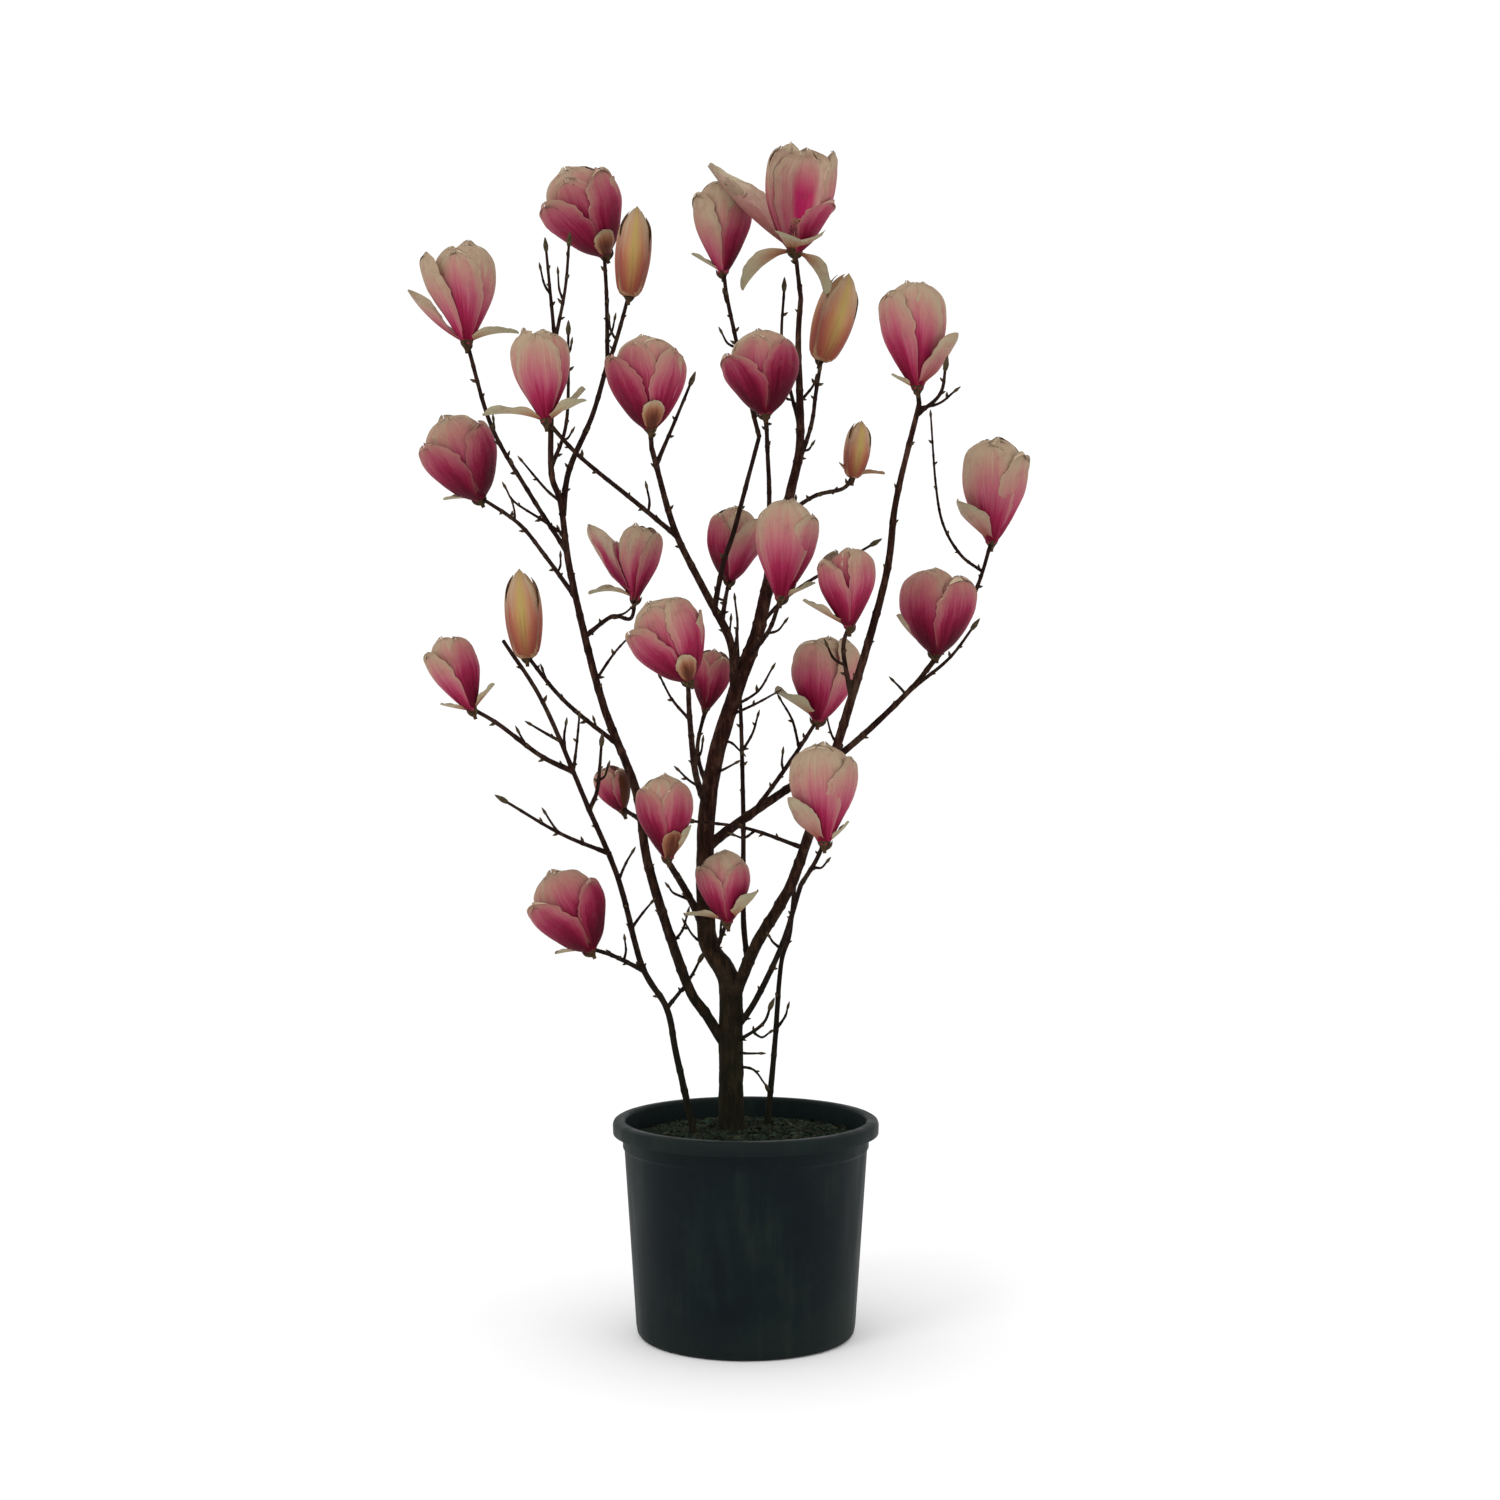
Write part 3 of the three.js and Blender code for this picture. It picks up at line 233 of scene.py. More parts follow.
# The tepals of each goblet from the outside in: [direction, how high the tip reaches as a share of the
# bloom's height, how far it stands off the goblet as a share of half the width, half the tepal's breadth
# as a share of the width, how much paler it is than the bloom]. Direction is as for the loose ones. Where
# a row stops short, the tepal is pressed to the goblet and has the usual breadth and paleness.
USUAL_BREADTH = 0.42
USUAL_PALER = 0.1
TEPALS = {
    "01": [[18, 0.46, 0.05, 0.4, 0.4], [350, 0.96, 0.05, 0.48, 0.2], [206, 0.98, 0, 0.4],
           [236, 1.06, 0, 0.42, 0.2], [282, 1.02, 0, 0.5, 0]],
    "02": [[148, 0.84, 0.06, 0.42, 0.6], [32, 0.82, 0.05, 0.42, -0.6], [106, 0.95, 0.02, 0.4, 0.2],
           [70, 1.0, 0, 0.34, 0.2], [215, 0.98, 0, 0.42, 0.2], [330, 0.95, 0, 0.42, 0]],
    "03": [[144, 0.72, 0.12, 0.42, 0], [40, 0.84, 0.05, 0.38, 0], [106, 0.86, 0.03, 0.36, -0.1],
           [72, 0.93, 0.02, 0.34], [122, 0.97, 0, 0.36, 0.2], [92, 1.0, 0, 0.34, 0.2],
           [200, 0.95, 0, 0.42, 0.2], [320, 0.98]],
    "05": [[152, 0.9, 0.34, 0.34, 0.4], [100, 0.88, 0.02, 0.4, -0.1], [40, 0.95, 0, 0.42, 0.2],
           [72, 1.02, 0, 0.3, 0.2], [124, 0.96, 0, 0.32, 0.3], [215, 0.94, 0, 0.42, 0.3],
           [310, 0.98, 0, 0.42, 0.2]],
    "06": [[96, 0.9, 0.03, 0.42, 0.2], [46, 0.92, 0.02, 0.4, -0.1], [148, 1.02, 0.08, 0.42, 0.4],
           [70, 0.98, 0, 0.34, 0.2], [200, 0.96, 0, 0.4, 0.3], [270, 0.95], [340, 0.95]],
    "07": [[148, 0.76, 0.05, 0.4, -0.1], [36, 0.8, 0.04, 0.36], [112, 0.88, 0.02, 0.34, -0.1],
           [60, 0.92, 0, 0.36], [104, 1.0, 0, 0.34, 0.2], [74, 0.97, 0, 0.34], [200, 0.94], [330, 0.95]],
    "08": [[142, 0.66, 0.16, 0.42, -0.1], [36, 0.82, 0.04, 0.42, -0.4], [104, 0.88, 0.02, 0.38, 0],
           [70, 0.97, 0, 0.34, 0.2], [96, 1.0, 0, 0.34, 0.4], [210, 0.95, 0, 0.42, 0.2], [320, 0.97]],
    "10": [[148, 0.88, 0.05, 0.42, -0.1], [88, 0.96, 0.01, 0.42, 0], [42, 0.98, 0, 0.38, 0.3],
           [122, 1.0, 0, 0.34], [215, 0.98, 0, 0.4], [320, 1.0]],
    "12": [[138, 0.8, 0.14, 0.44, 0], [34, 0.8, 0.06, 0.4, -0.1], [78, 0.96, 0.02],
           [116, 0.96, 0, 0.38, 0.2], [98, 1.02, 0, 0.38, 0.3], [215, 0.9, 0, 0.42, 0.2], [320, 0.9]],
    "13": [[102, 0.96, 0.03, 0.46], [34, 0.86, 0.06], [148, 0.9, 0, 0.4], [74, 1.0, 0, 0.34, 0.2],
           [300, 1.0, 0, 0.42, 0.2], [225, 0.97, 0, 0.42, 0.2]],
    "14": [[48, 0.84, 0.6, 0.46, 0.5], [142, 0.88, 0.04, 0.42, -0.2], [58, 0.95, 0, 0.42, 0.3],
           [102, 1.0, 0, 0.34, 0.2], [215, 0.97, 0, 0.42, 0], [320, 0.95, 0, 0.42, 0]],
    "15": [[94, 0.96, 0.03, 0.46, 0], [32, 0.84, 0.05, 0.4, -0.1], [154, 0.86, 0.04, 0.4, 0.2],
           [66, 1.0, 0, 0.34], [122, 0.99, 0, 0.34], [300, 1.0], [225, 0.95]],
    "16": [[205, 0.72, 0.12, 0.4, -0.1], [30, 0.9, 0.03, 0.4, -0.2], [76, 0.94, 0, 0.38, 0],
           [112, 1.0, 0, 0.34], [320, 0.95, 0, 0.42, 0]],
    "17": [[146, 0.8, 0.1, 0.42, 0], [42, 0.94, 0.06, 0.4], [212, 1.0, 0.06, 0.36, 0.2],
           [104, 0.9, 0, 0.38, -0.2], [76, 0.97, 0, 0.34, 0.2], [330, 1.0, 0, 0.38, 0.2]],
    "18": [[46, 0.88, 0.06], [132, 0.96, 0.03, 0.42, 0], [88, 0.78, 0.01, 0.36, -0.1],
           [108, 1.0, 0, 0.34], [215, 0.96], [330, 0.86]],
    "20": [[146, 0.74, 0.07, 0.4, 0], [40, 0.88, 0.05, 0.38], [110, 0.88, 0.02, 0.36, 0],
           [72, 0.94, 0, 0.36, 0.2], [98, 1.0, 0, 0.36, 0.2], [200, 0.95], [320, 0.98]],
    "21": [[142, 0.86, 0.16, 0.42, 0.5], [50, 0.92, 0.02, 0.4, 0], [100, 1.0, 0, 0.36, 0.3], [320, 0.97],
           [230, 0.95]],
    "22": [[140, 0.88, 0.03, 0.42, -0.1], [50, 0.9, 0.02, 0.42, 0], [95, 1.0, 0, 0.4],
           [215, 0.95, 0, 0.42, 0], [320, 0.95, 0, 0.42, 0]],
    "23": [[28, 1.0, 0.12, 0.38, 0.25], [116, 0.92, 0, 0.44, 0], [62, 0.86, -0.01, 0.4, -0.2],
           [90, 1.0, -0.02, 0.34, 0.3], [200, 0.9, -0.02], [300, 0.95, -0.02, 0.42, 0.3]],
    "24": [[40, 0.86, 0.05, 0.42, 0.4], [120, 0.94, 0, 0.42, 0.3], [200, 0.95, 0, 0.42, 0.2],
           [310, 0.95, 0, 0.42, 0.4]],
    "25": [[104, 0.96, 0.03, 0.46], [32, 0.84, 0.09], [148, 0.92, 0, 0.4, 0.2], [66, 1.0, 0, 0.36],
           [122, 1.0, 0, 0.34, 0.2], [300, 0.97, 0, 0.42, 0.2], [230, 0.97, 0, 0.42, 0.2]],
    "26": [[142, 0.84, 0.04, 0.42, -0.2], [48, 0.88, 0.03, 0.42, 0], [98, 0.95, 0, 0.38, 0.2],
           [72, 1.0, 0, 0.34, 0.2], [215, 0.95], [320, 0.95]],
    "27": [[146, 0.78, 0.06], [40, 0.8, 0.04], [106, 0.96, 0, 0.38, 0.4], [74, 1.0, 0, 0.36, 0.4],
           [215, 0.93], [325, 0.93]],
    "28": [[138, 0.76, 0.16, 0.44], [30, 0.74, 0.05, 0.38, -0.3], [74, 0.97, 0.02],
           [112, 0.97, 0, 0.38, 0.2], [94, 1.03, 0, 0.38, 0.2], [215, 0.9], [320, 0.9]],
}

# Shoots with no bloom, each ending in a winter bud
BARE_SHOOTS = [
    dict(name="top_left", of="bough_left_long", leaves=1202, tip=[-240, 1306, 98]),
    dict(name="top_left_inner", of="bough_left_long", leaves=1186, via=[[-217, 1254, 74]],
         tip=[-212, 1312, 62]),
    dict(name="upper_left", of="bough_left_long", leaves=1040, via=[[-215, 1098, 56]], tip=[-213, 1206, 44]),
    dict(name="upper_centre", of="bough_fork_left", leaves=1044, via=[[-87, 1092, -124]],
         tip=[-65, 1145, -116]),
    dict(name="top_centre", of="leader", leaves=1086, via=[[44, 1180, 66]], tip=[46, 1258, 74]),
    dict(name="upper_right", of="bough_right_long", leaves=1104, via=[[233, 1129, -172]],
         tip=[240, 1163, -188]),
    dict(name="centre_right", of="leader", leaves=852, via=[[60, 894, 40]], tip=[154, 950, 70]),
    dict(name="far_right", of="bough_right_spreading", leaves=774, via=[[243, 811, 96]], tip=[274, 851, 80]),
    dict(name="middle_left", of="basal_stem_left", leaves=630, via=[[-178, 656, -116]],
         tip=[-173, 712, -90]),
    dict(name="low_left", of="basal_stem_left", leaves=578, via=[[-223, 602, -112]], tip=[-291, 642, -98]),
    dict(name="across_centre", of="bough_right_long", leaves=584, via=[[1, 608, -74]], tip=[-67, 617, -62]),
    dict(name="low_centre", of="basal_stem_left", leaves=392, via=[[-69, 425, 32]], tip=[-54, 452, 42]),
    dict(name="low_right", of="trunk", leaves=348, via=[[19, 372, 2]], tip=[30, 395, -8]),
]

# The finest twigs: the limb each leaves and at what height, then the places it passes. Here deep is
# measured from where the twig leaves.
FINE_TWIGS = [
    ["bough_left_long", 1000, [-240, 1015, -10], [-268, 1048, -20]],
    ["bough_left_long", 960, [-246, 979, -14], [-278, 1000, -26], [-288, 1016, -28]],
    ["bough_left_long", 786, [-158, 818, 12], [-138, 840, 24]],
    ["basal_stem_left", 488, [-124, 506, 10], [-114, 518, 16]],
    ["basal_stem_left", 546, [-144, 566, 10], [-137, 578, 14]],
    ["basal_stem_left", 700, [-218, 718, 8], [-216, 732, 12]],
    ["basal_stem_left", 712, [-240, 722, -10], [-257, 732, -16]],
    ["basal_stem_left", 676, [-203, 708, 14], [-200, 740, 24]],
    ["trunk", 462, [-62, 478, 10], [-72, 493, 16]],
    ["trunk", 340, [0, 338, -14], [16, 338, -22]],
    ["trunk", 322, [8, 319, -10], [23, 301, -18]],
    ["trunk", 672, [-24, 680, -14], [-13, 686, -20]],
    ["trunk", 712, [-18, 711, 12], [-6, 700, 18]],
    ["bough_inner_left", 738, [-88, 762, 10], [-102, 788, 22]],
    ["trunk", 652, [-66, 664, -14], [-80, 677, -22]],
    ["trunk", 742, [11, 757, -18], [35, 770, -26]],
    ["trunk", 752, [14, 772, -10], [31, 799, -14]],
    ["flowering_shoot_23", 704, [56, 737, 10], [42, 762, 16]],
    ["bough_right_low", 464, [33, 471, -8], [29, 477, -12]],
    ["bough_fork_left", 812, [-10, 850, 14], [-13, 882, 22]],
    ["bough_fork_left", 806, [-19, 838, -12], [-18, 857, -16]],
    ["bough_left_short", 522, [-86, 530, -8], [-92, 537, -12]],
    ["bough_right_long", 1112, [232, 1118, -10], [250, 1132, -16]],
    ["bough_right_spreading", 769, [184, 778, 6], [178, 784, 8]],
    ["basal_stem_right", 366, [47, 382, -6], [50, 392, -8]],
    ["bough_left_long", 470, [-76, 486, 14], [-70, 506, 22]],
    ["bough_right_spreading", 700, [104, 718, 14], [98, 738, 24]],
    ["leader", 930, [52, 948, -16], [66, 968, -24]],
    ["leader", 1120, [80, 1138, 12], [88, 1156, 16]],
    ["bough_centre_upright", 700, [8, 722, 12], [14, 742, 18]],
]

# Sizes that all limbs and shoots share
COLLAR_SWELL = {"share": 0.3, "reach": 12}
STEM = {"foot": 2.9, "tip": 2.3}
BARE_STEM = {"foot": 2.5, "tip": 1.6}
SPUR = {"spacing": 74, "shortest": 12, "longest": 32, "foot": 1.7, "tip": 1.2, "clear": 5}
SPUR_PLACE = {"first": 0.35, "spread": 0.4, "lowest": 0.14, "highest": 0.84}
SPUR_KNEE = {"along": 0.36, "out": 0.417}
SPUR_END = {"along": 0.35, "out": 0.2, "up": 0.2}
FINE_TWIG = {"foot": 2.0, "tip": 1.2}
# The swellings under buds: how far apart they are, how much thicker, and how long
KNOTS = {
    "bough": {"spacing": 46, "swell": 0.14, "wide": 2.4},
    "stem": {"spacing": 24, "swell": 0.14, "wide": 2.4},
    "twig": {"spacing": 15, "swell": 0.22, "wide": 1.6},
}
# How finely limbs are drawn, and how uneven their bark is as a share of their radius
DRAWN = {
    "trunk": {"sides": 40, "step": 2.5, "relief": 0.05},
    "bough": {"sides": 20, "step": 3, "relief": 0.055},
    "stem": {"sides": 12, "step": 2.5, "relief": 0.05},
    "twig": {"sides": 8, "step": 2.5, "relief": 0.05},
}
# Each wave of the bark: its height, its wavelength, and how much slower it runs upwards
BARK_WAVES = [[1, 17, 0.35], [0.6, 6, 0.5]]
# The places along a limb and in a head that spurs keep clear of
OBSTACLE_SPACING = 8
HEAD_SHARES = np.array([0.2, 0.4, 0.6, 0.8])
WINTER_BUD = {"long": 16, "wide": 6.4, "sunk": 0.25}
# The buds along a limb: how long, how wide as a share of that besides the least width, how far up the
# limb they point, and how downy
SIDE_BUD = {
    "shortest": 4, "longest": 8, "width_share": 0.42, "least_width": 0.8, "upwards": 0.8, "fluff": 0.5,
}
# The bud at a twig's end. A twig longer than from_length has side buds too.
TWIG_BUDS = {"from_length": 40, "long": 6, "wide": 2.2, "fluff": 0.7}
CALYX_SINK = 4
SEEDS = {
    "trunk": 1, "bough": 10, "bough_buds": 60, "stem": 100, "stem_buds": 200, "spurs": 300,
    "side_twig": 700, "fine_twigs": 900, "blooms": 500, "hearts": 800, "feet": 1200,
}

# A bloom's radius at each share of its height, as a share of half its width: closed, and open, and how
# much less it is where the foot is slim
CUP_HEIGHTS = np.array([0, 0.16, 0.5, 0.8, 0.94, 1])
CLOSED_CUP = np.array([0.12, 0.58, 1, 0.9, 0.6, 0.24])
OPEN_CUP = np.array([0.12, 0.44, 0.84, 0.98, 1.02, 1.03])
SLIM_CUP = np.array([0, 0.2, 0.1, -0.04, -0.02, 0])
BUD_OUTLINE = np.array([
    [0.3, 0], [0.66, 0.07], [0.93, 0.28], [0.98, 0.5], [0.82, 0.74], [0.46, 0.91], [0.06, 1],
])
# A tepal's thickness and the tightest that it bends round its bloom. Of a loose one: its usual breadth
# as a share of its length, its cupping, the direction that it leaves in, the most that it bends from
# there, both in degrees, and how far up it starts as a share of its length
TEPAL = {
    "thickness": 1.0, "width": 0.4, "cupping": 0.12, "leave": 60, "curl": 35, "lift": 0.04, "least_bend": 7,
}
TEPAL_ROWS, TEPAL_COLUMNS = 26, 15
# How wide the tepals' goblet is as a share of the bloom's width, how far outside it the outermost tepal
# lies, and how far inside that the next one lies
CUP_SHARE = 0.93
LAYERS = {"first": 0.022, "step": 0.012}
# The innermost tepals of a bloom that is less open than this: how many, how high they reach, how far in
# they lean to close its top, half their breadth, and how much paler they are
CORE = {"closed": 0.5, "count": 3, "tall": 0.95, "stands": -0.34, "broad": 0.5, "paler": 0.1}
# How deep a tepal's tip is notched as a share of its length, how uneven its edges are as a share of its
# breadth, how far its face lies out of true as a share of the bloom's width, and its crumples
SCALLOP = 0.045
FRAY = 0.045
UNEVEN = {"ruffle": 0.01, "roll": 0.03, "flick": 0.05, "midrib": 0.01}
CRUMPLES = {"depth": 0.3, "wavelength": 22}
# The cone with its stamens and pistils, which a bloom shows from so far open: where it starts and how
# tall it is as shares of the bloom's length, its core as a share of the width, and how many of the
# threads on it are stamens, as a share
HEART = {"shows_from": 0.2, "count": 64, "foot": 0.1, "tall": 0.22, "core": 0.045, "stamens": 0.45}
# The tepals of each bud from the outside in: [direction, how high the tip reaches as a share of the
# bud's height, how far it stands off the bud as a share of its width]. The last ones close the top.
BUD_TEPALS = [
    [84, 0.99, 0.03], [-30, 0.9, 0.06], [198, 0.94, 0.05], [30, 0.94, 0], [150, 0.97, 0], [270, 0.92, 0],
    [90, 0.94, -0.15], [210, 0.92, -0.15], [330, 0.93, -0.15],
]

# The room: the floor's half width, the lamps' places and sizes in metres, their power in watts, and the
# point that they are turned to
FLOOR_REACH = 30
SKY_STRENGTH = 1.05
LAMPS = {
    "key": dict(spot=(-2.2, -2.6, 3.2), size=1.6, power=36),
    "fill": dict(spot=(2.6, -1.8, 1.6), size=2.0, power=8),
}
LAMPS_AIM = (0, 0, 0.7)


# Numbers
def unit(v):
    return v / np.linalg.norm(v, axis=-1, keepdims=True)


def seeded(seed):
    """Draws random numbers from 0 to 1, the same in every run."""
    times, plus, size = 1664525, 1013904223, 2**32
    state = seed

    def draw():
        nonlocal state
        state = (state * times + plus) % size
        return state / size

    return draw


def ease(low, high, x):
    """Runs smoothly from 0 to 1 while x runs from low to high."""
    share = np.clip((x - low) / (high - low), 0, 1)
    return share * share * (3 - 2 * share)


def ripples(points, wavelength, seed, waves=7):
    """A smooth unevenness of about -1 to 1 in space: a few sine waves in seeded directions."""
    rng = np.random.default_rng(seed)
    pitch = CIRCLE / wavelength * rng.uniform(0.6, 1.7, (waves, 1))
    directions = unit(rng.normal(size=(waves, 3))) * pitch
    return 1.5 * np.sin(points @ directions.T + rng.uniform(0, CIRCLE, waves)).mean(axis=-1)


def about(axis, turn):
    """A turn about the X, Y or Z axis, in radians."""
    first, second = [(1, 2), (2, 0), (0, 1)][axis]
    matrix = np.eye(3)
    matrix[first, first] = matrix[second, second] = np.cos(turn)
    matrix[second, first] = np.sin(turn)
    matrix[first, second] = -np.sin(turn)
    return matrix


def swung(out, side, up, turn):
    """Places this far out, to the side and up, swung round the upright axis."""
    x = out * np.cos(turn) - side * np.sin(turn)
    y = out * np.sin(turn) + side * np.cos(turn)
    return np.stack([x, y, up], axis=-1)


GAZE = unit(AIM - EYE)
PICTURE_RIGHT = unit(np.cross(GAZE, [0, 0, 1]))
PICTURE_UP = np.cross(PICTURE_RIGHT, GAZE)


def stand(places):
    """Where seen places stand in space."""
    across, up, deep = np.moveaxis(np.asarray(places, float), -1, 0)[..., None]
    ray = AIM - EYE + PICTURE_RIGHT * (across - AIM[0]) + PICTURE_UP * (up - AIM[2])
    return EYE + ray * ((deep - EYE[1]) / ray[..., 1:2])


def spline(places, per_span):
    """Points on a smooth curve through the places."""
    stops = np.asarray(places, float)
    stops = np.vstack([2 * stops[0] - stops[1], stops, 2 * stops[-1] - stops[-2]])
    t = (np.arange(per_span) / per_span)[:, None]
    spans = []
    for a, b, c, d in zip(stops, stops[1:], stops[2:], stops[3:]):
        cubic = 2 * a - 5 * b + 4 * c - d + t * (3 * (b - c) + d - a)
        spans.append(b + 0.5 * t * (c - a + t * cubic))
    return np.vstack([*spans, stops[-2]])


class Line:
    """A run of points that can be asked for its place and direction at any share of its length."""

    def __init__(self, points):
        self.points = np.asarray(points, float)
        steps = np.linalg.norm(np.diff(self.points, axis=0), axis=1)
        self.reach = np.concatenate([[0], np.cumsum(steps)])
        self.length = self.reach[-1]

    def at(self, shares):
        there = np.asarray(shares) * self.length
        return np.stack([np.interp(there, self.reach, column) for column in self.points.T], axis=-1)

    def along(self, share):
        step = min(0.02, 2 / self.length)
        ends = self.at([max(0, share - step), min(1, share + step)])
        return unit(ends[1] - ends[0])

    def sections(self, shares):
        """Centres, and two directions square to the line that twist as little as they can."""
        centres = self.at(shares)
        along = unit(np.gradient(centres, axis=0))
        sides = [unit(np.cross([0.1, 1, 0], along[0]))]
        for ahead in along[1:]:
            sides.append(unit(sides[-1] - ahead * (sides[-1] @ ahead)))
        sides = np.array(sides)
        return centres, sides, np.cross(along, sides)


class Limb:
    """A limb's way through the places that are seen, and its line in space."""

    def __init__(self, places):
        self.seen = spline(places, 16)
        self.line = Line(stand(self.seen))
        self.tip = places[-1]

    def at_height(self, up):
        """The seen place where the limb first reaches this height."""
        heights = self.seen[:, 1]
        if up >= heights.max():
            return self.seen[-1]
        after = max(1, int(np.argmax(heights >= up)))
        share = (up - heights[after - 1]) / (heights[after] - heights[after - 1])
        return self.seen[after - 1] + share * (self.seen[after] - self.seen[after - 1])


# Meshes
def grid_quads(rows, columns, wraps=False):
    """The faces of a grid of points that is numbered row by row."""
    row = np.arange(rows - 1)[:, None]
    column = np.arange(columns if wraps else columns - 1)[None, :]
    ahead = (column + 1) % columns
    corners = [row * columns + column, row * columns + ahead]
    corners += [(row + 1) * columns + ahead, (row + 1) * columns + column]
    return np.stack(corners, axis=-1).reshape(-1, 4)


def fan(ring, centre):
    """The triangles between a ring of points and its centre."""
    return np.stack([ring, np.roll(ring, -1), np.full(len(ring), centre)], axis=-1)


def even_turns(sides):
    return np.linspace(0, CIRCLE, sides, endpoint=False)


def tube(line, radius_of, sides, step, relief=0.0, seed=0):
    """A tube along a line with a closed tip: its points, quads and triangles. radius_of(shares, turns)
    gives the radius, and relief is how uneven it is, as a share of that."""
    rings = max(3, int(line.length / step)) + 1
    shares = np.linspace(0, 1, rings)
    centres, side, other = line.sections(shares)
    turns = even_turns(sides)[None, :, None]
    outward = np.cos(turns) * side[:, None] + np.sin(turns) * other[:, None]
    radius = np.broadcast_to(radius_of(shares[:, None], turns[..., 0]), (rings, sides))[..., None]
    points = centres[:, None] + radius * outward
    if relief:
        uneven = sum(
            high * ripples(points * [1, 1, upright], wavelength, seed + i)
            for i, (high, wavelength, upright) in enumerate(BARK_WAVES)
        )
        points = points + relief * radius * uneven[..., None] * outward
    tip = centres[-1] + 0.6 * radius[-1].mean() * unit(centres[-1] - centres[-2])
    cap = fan((rings - 1) * sides + np.arange(sides), rings * sides)
    return np.vstack([points.reshape(-1, 3), tip]), grid_quads(rings, sides, True), cap


def turned(outline, sides):
    """An outline of [radius, height] pairs turned round the upright axis: its points and quads."""
    outline = np.asarray(outline, float)
    radius, height = outline[:, None, 0], outline[:, None, 1] + np.zeros(sides)
    points = swung(radius, 0.0, height, even_turns(sides)).reshape(-1, 3)
    return points, grid_quads(len(outline), sides, True)


def add_object(name, data):
    made = bpy.data.objects.new(name, data)
    bpy.context.scene.collection.objects.link(made)
    return made


class Pile:
    """Many small shapes gathered into one mesh, with marks on each point for the materials to read."""

    def __init__(self):
        self.points, self.quads, self.tris, self.marks, self.maps = [], [], [], {}, []
        self.count = 0

    def add(self, points, quads=None, tris=None, uv=None, **marks):
        points = np.asarray(points, float).reshape(-1, 3)
        if quads is not None:
            self.quads.append(quads + self.count)
        if tris is not None:
            self.tris.append(tris + self.count)
        if uv is not None:
            self.maps.append(uv.reshape(-1, 2))
        for name, values in marks.items():
            values = np.asarray(values, float).reshape(-1, 3)
            self.marks.setdefault(name, []).append(np.broadcast_to(values, points.shape))
        self.points.append(points)
        self.count += len(points)

    def add_tube(self, line, radius_of, sides, step, mark, relief=0.0, seed=0, shoot=None):
        """A tube with one mark all over, set on the tip of a shoot if it is made upright."""
        points, quads, cap = tube(line, radius_of, sides, step, relief, seed)
        self.add(seat(points, shoot) if shoot else points, quads, cap, limb=[mark, 0, 0])

    def mesh(self, name, material, smooth=True):
        quads = np.vstack([np.zeros((0, 4), int), *self.quads])
        tris = np.vstack([np.zeros((0, 3), int), *self.tris])
        corners = np.concatenate([quads.ravel(), tris.ravel()]).astype(np.int32)
        starts = np.concatenate([np.arange(len(quads)) * 4, len(quads) * 4 + np.arange(len(tris)) * 3])
        mesh = bpy.data.meshes.new(name)
        mesh.vertices.add(self.count)
        mesh.vertices.foreach_set("co", (np.vstack(self.points) * MM).astype(np.float32).ravel())
        mesh.loops.add(len(corners))
        mesh.loops.foreach_set("vertex_index", corners)
        mesh.polygons.add(len(starts))
        mesh.polygons.foreach_set("loop_start", starts.astype(np.int32))
        mesh.update(calc_edges=True)
        mesh.polygons.foreach_set("use_smooth", np.full(len(starts), smooth))
        for mark, values in self.marks.items():
            layer = mesh.attributes.new(mark, "FLOAT_VECTOR", "POINT")
            layer.data.foreach_set("vector", np.vstack(values).astype(np.float32).ravel())
        if self.maps:
            layer = mesh.uv_layers.new(name="OFBake")
            layer.data.foreach_set("uv", np.vstack(self.maps)[corners].astype(np.float32).ravel())
        mesh.materials.append(material)
        return mesh

    def piece(self, name, material, slot, nodes, smooth=True):
        """The finished piece, which stands for these nodes of the solid model."""
        piece = add_object(name, self.mesh(name, material, smooth))
        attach(piece, "root")
        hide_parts(*nodes)
        return piece


# Materials
def colour(red, green, blue):
    """A colour as it shows on a screen, from 0 to 255."""
    share = np.array([red, green, blue]) / 255
    linear = np.where(share > 0.04045, ((share + 0.055) / 1.055) ** 2.4, share / 12.92)
    return (*(float(c) for c in linear), 1.0)


class Value:
    """A number or colour that a material works out at each point, and that can be reckoned with."""

    def __init__(self, painter, socket):
        self.painter = painter
        self.socket = socket

    def __add__(self, other):
        return self.painter.math("ADD", self, other)

    def __sub__(self, other):
        return self.painter.math("SUBTRACT", self, other)

    def __mul__(self, other):
        return self.painter.math("MULTIPLY", self, other)

    def __pow__(self, other):
        return self.painter.math("POWER", self, other)

    def __abs__(self):
        return self.painter.math("ABSOLUTE", self)


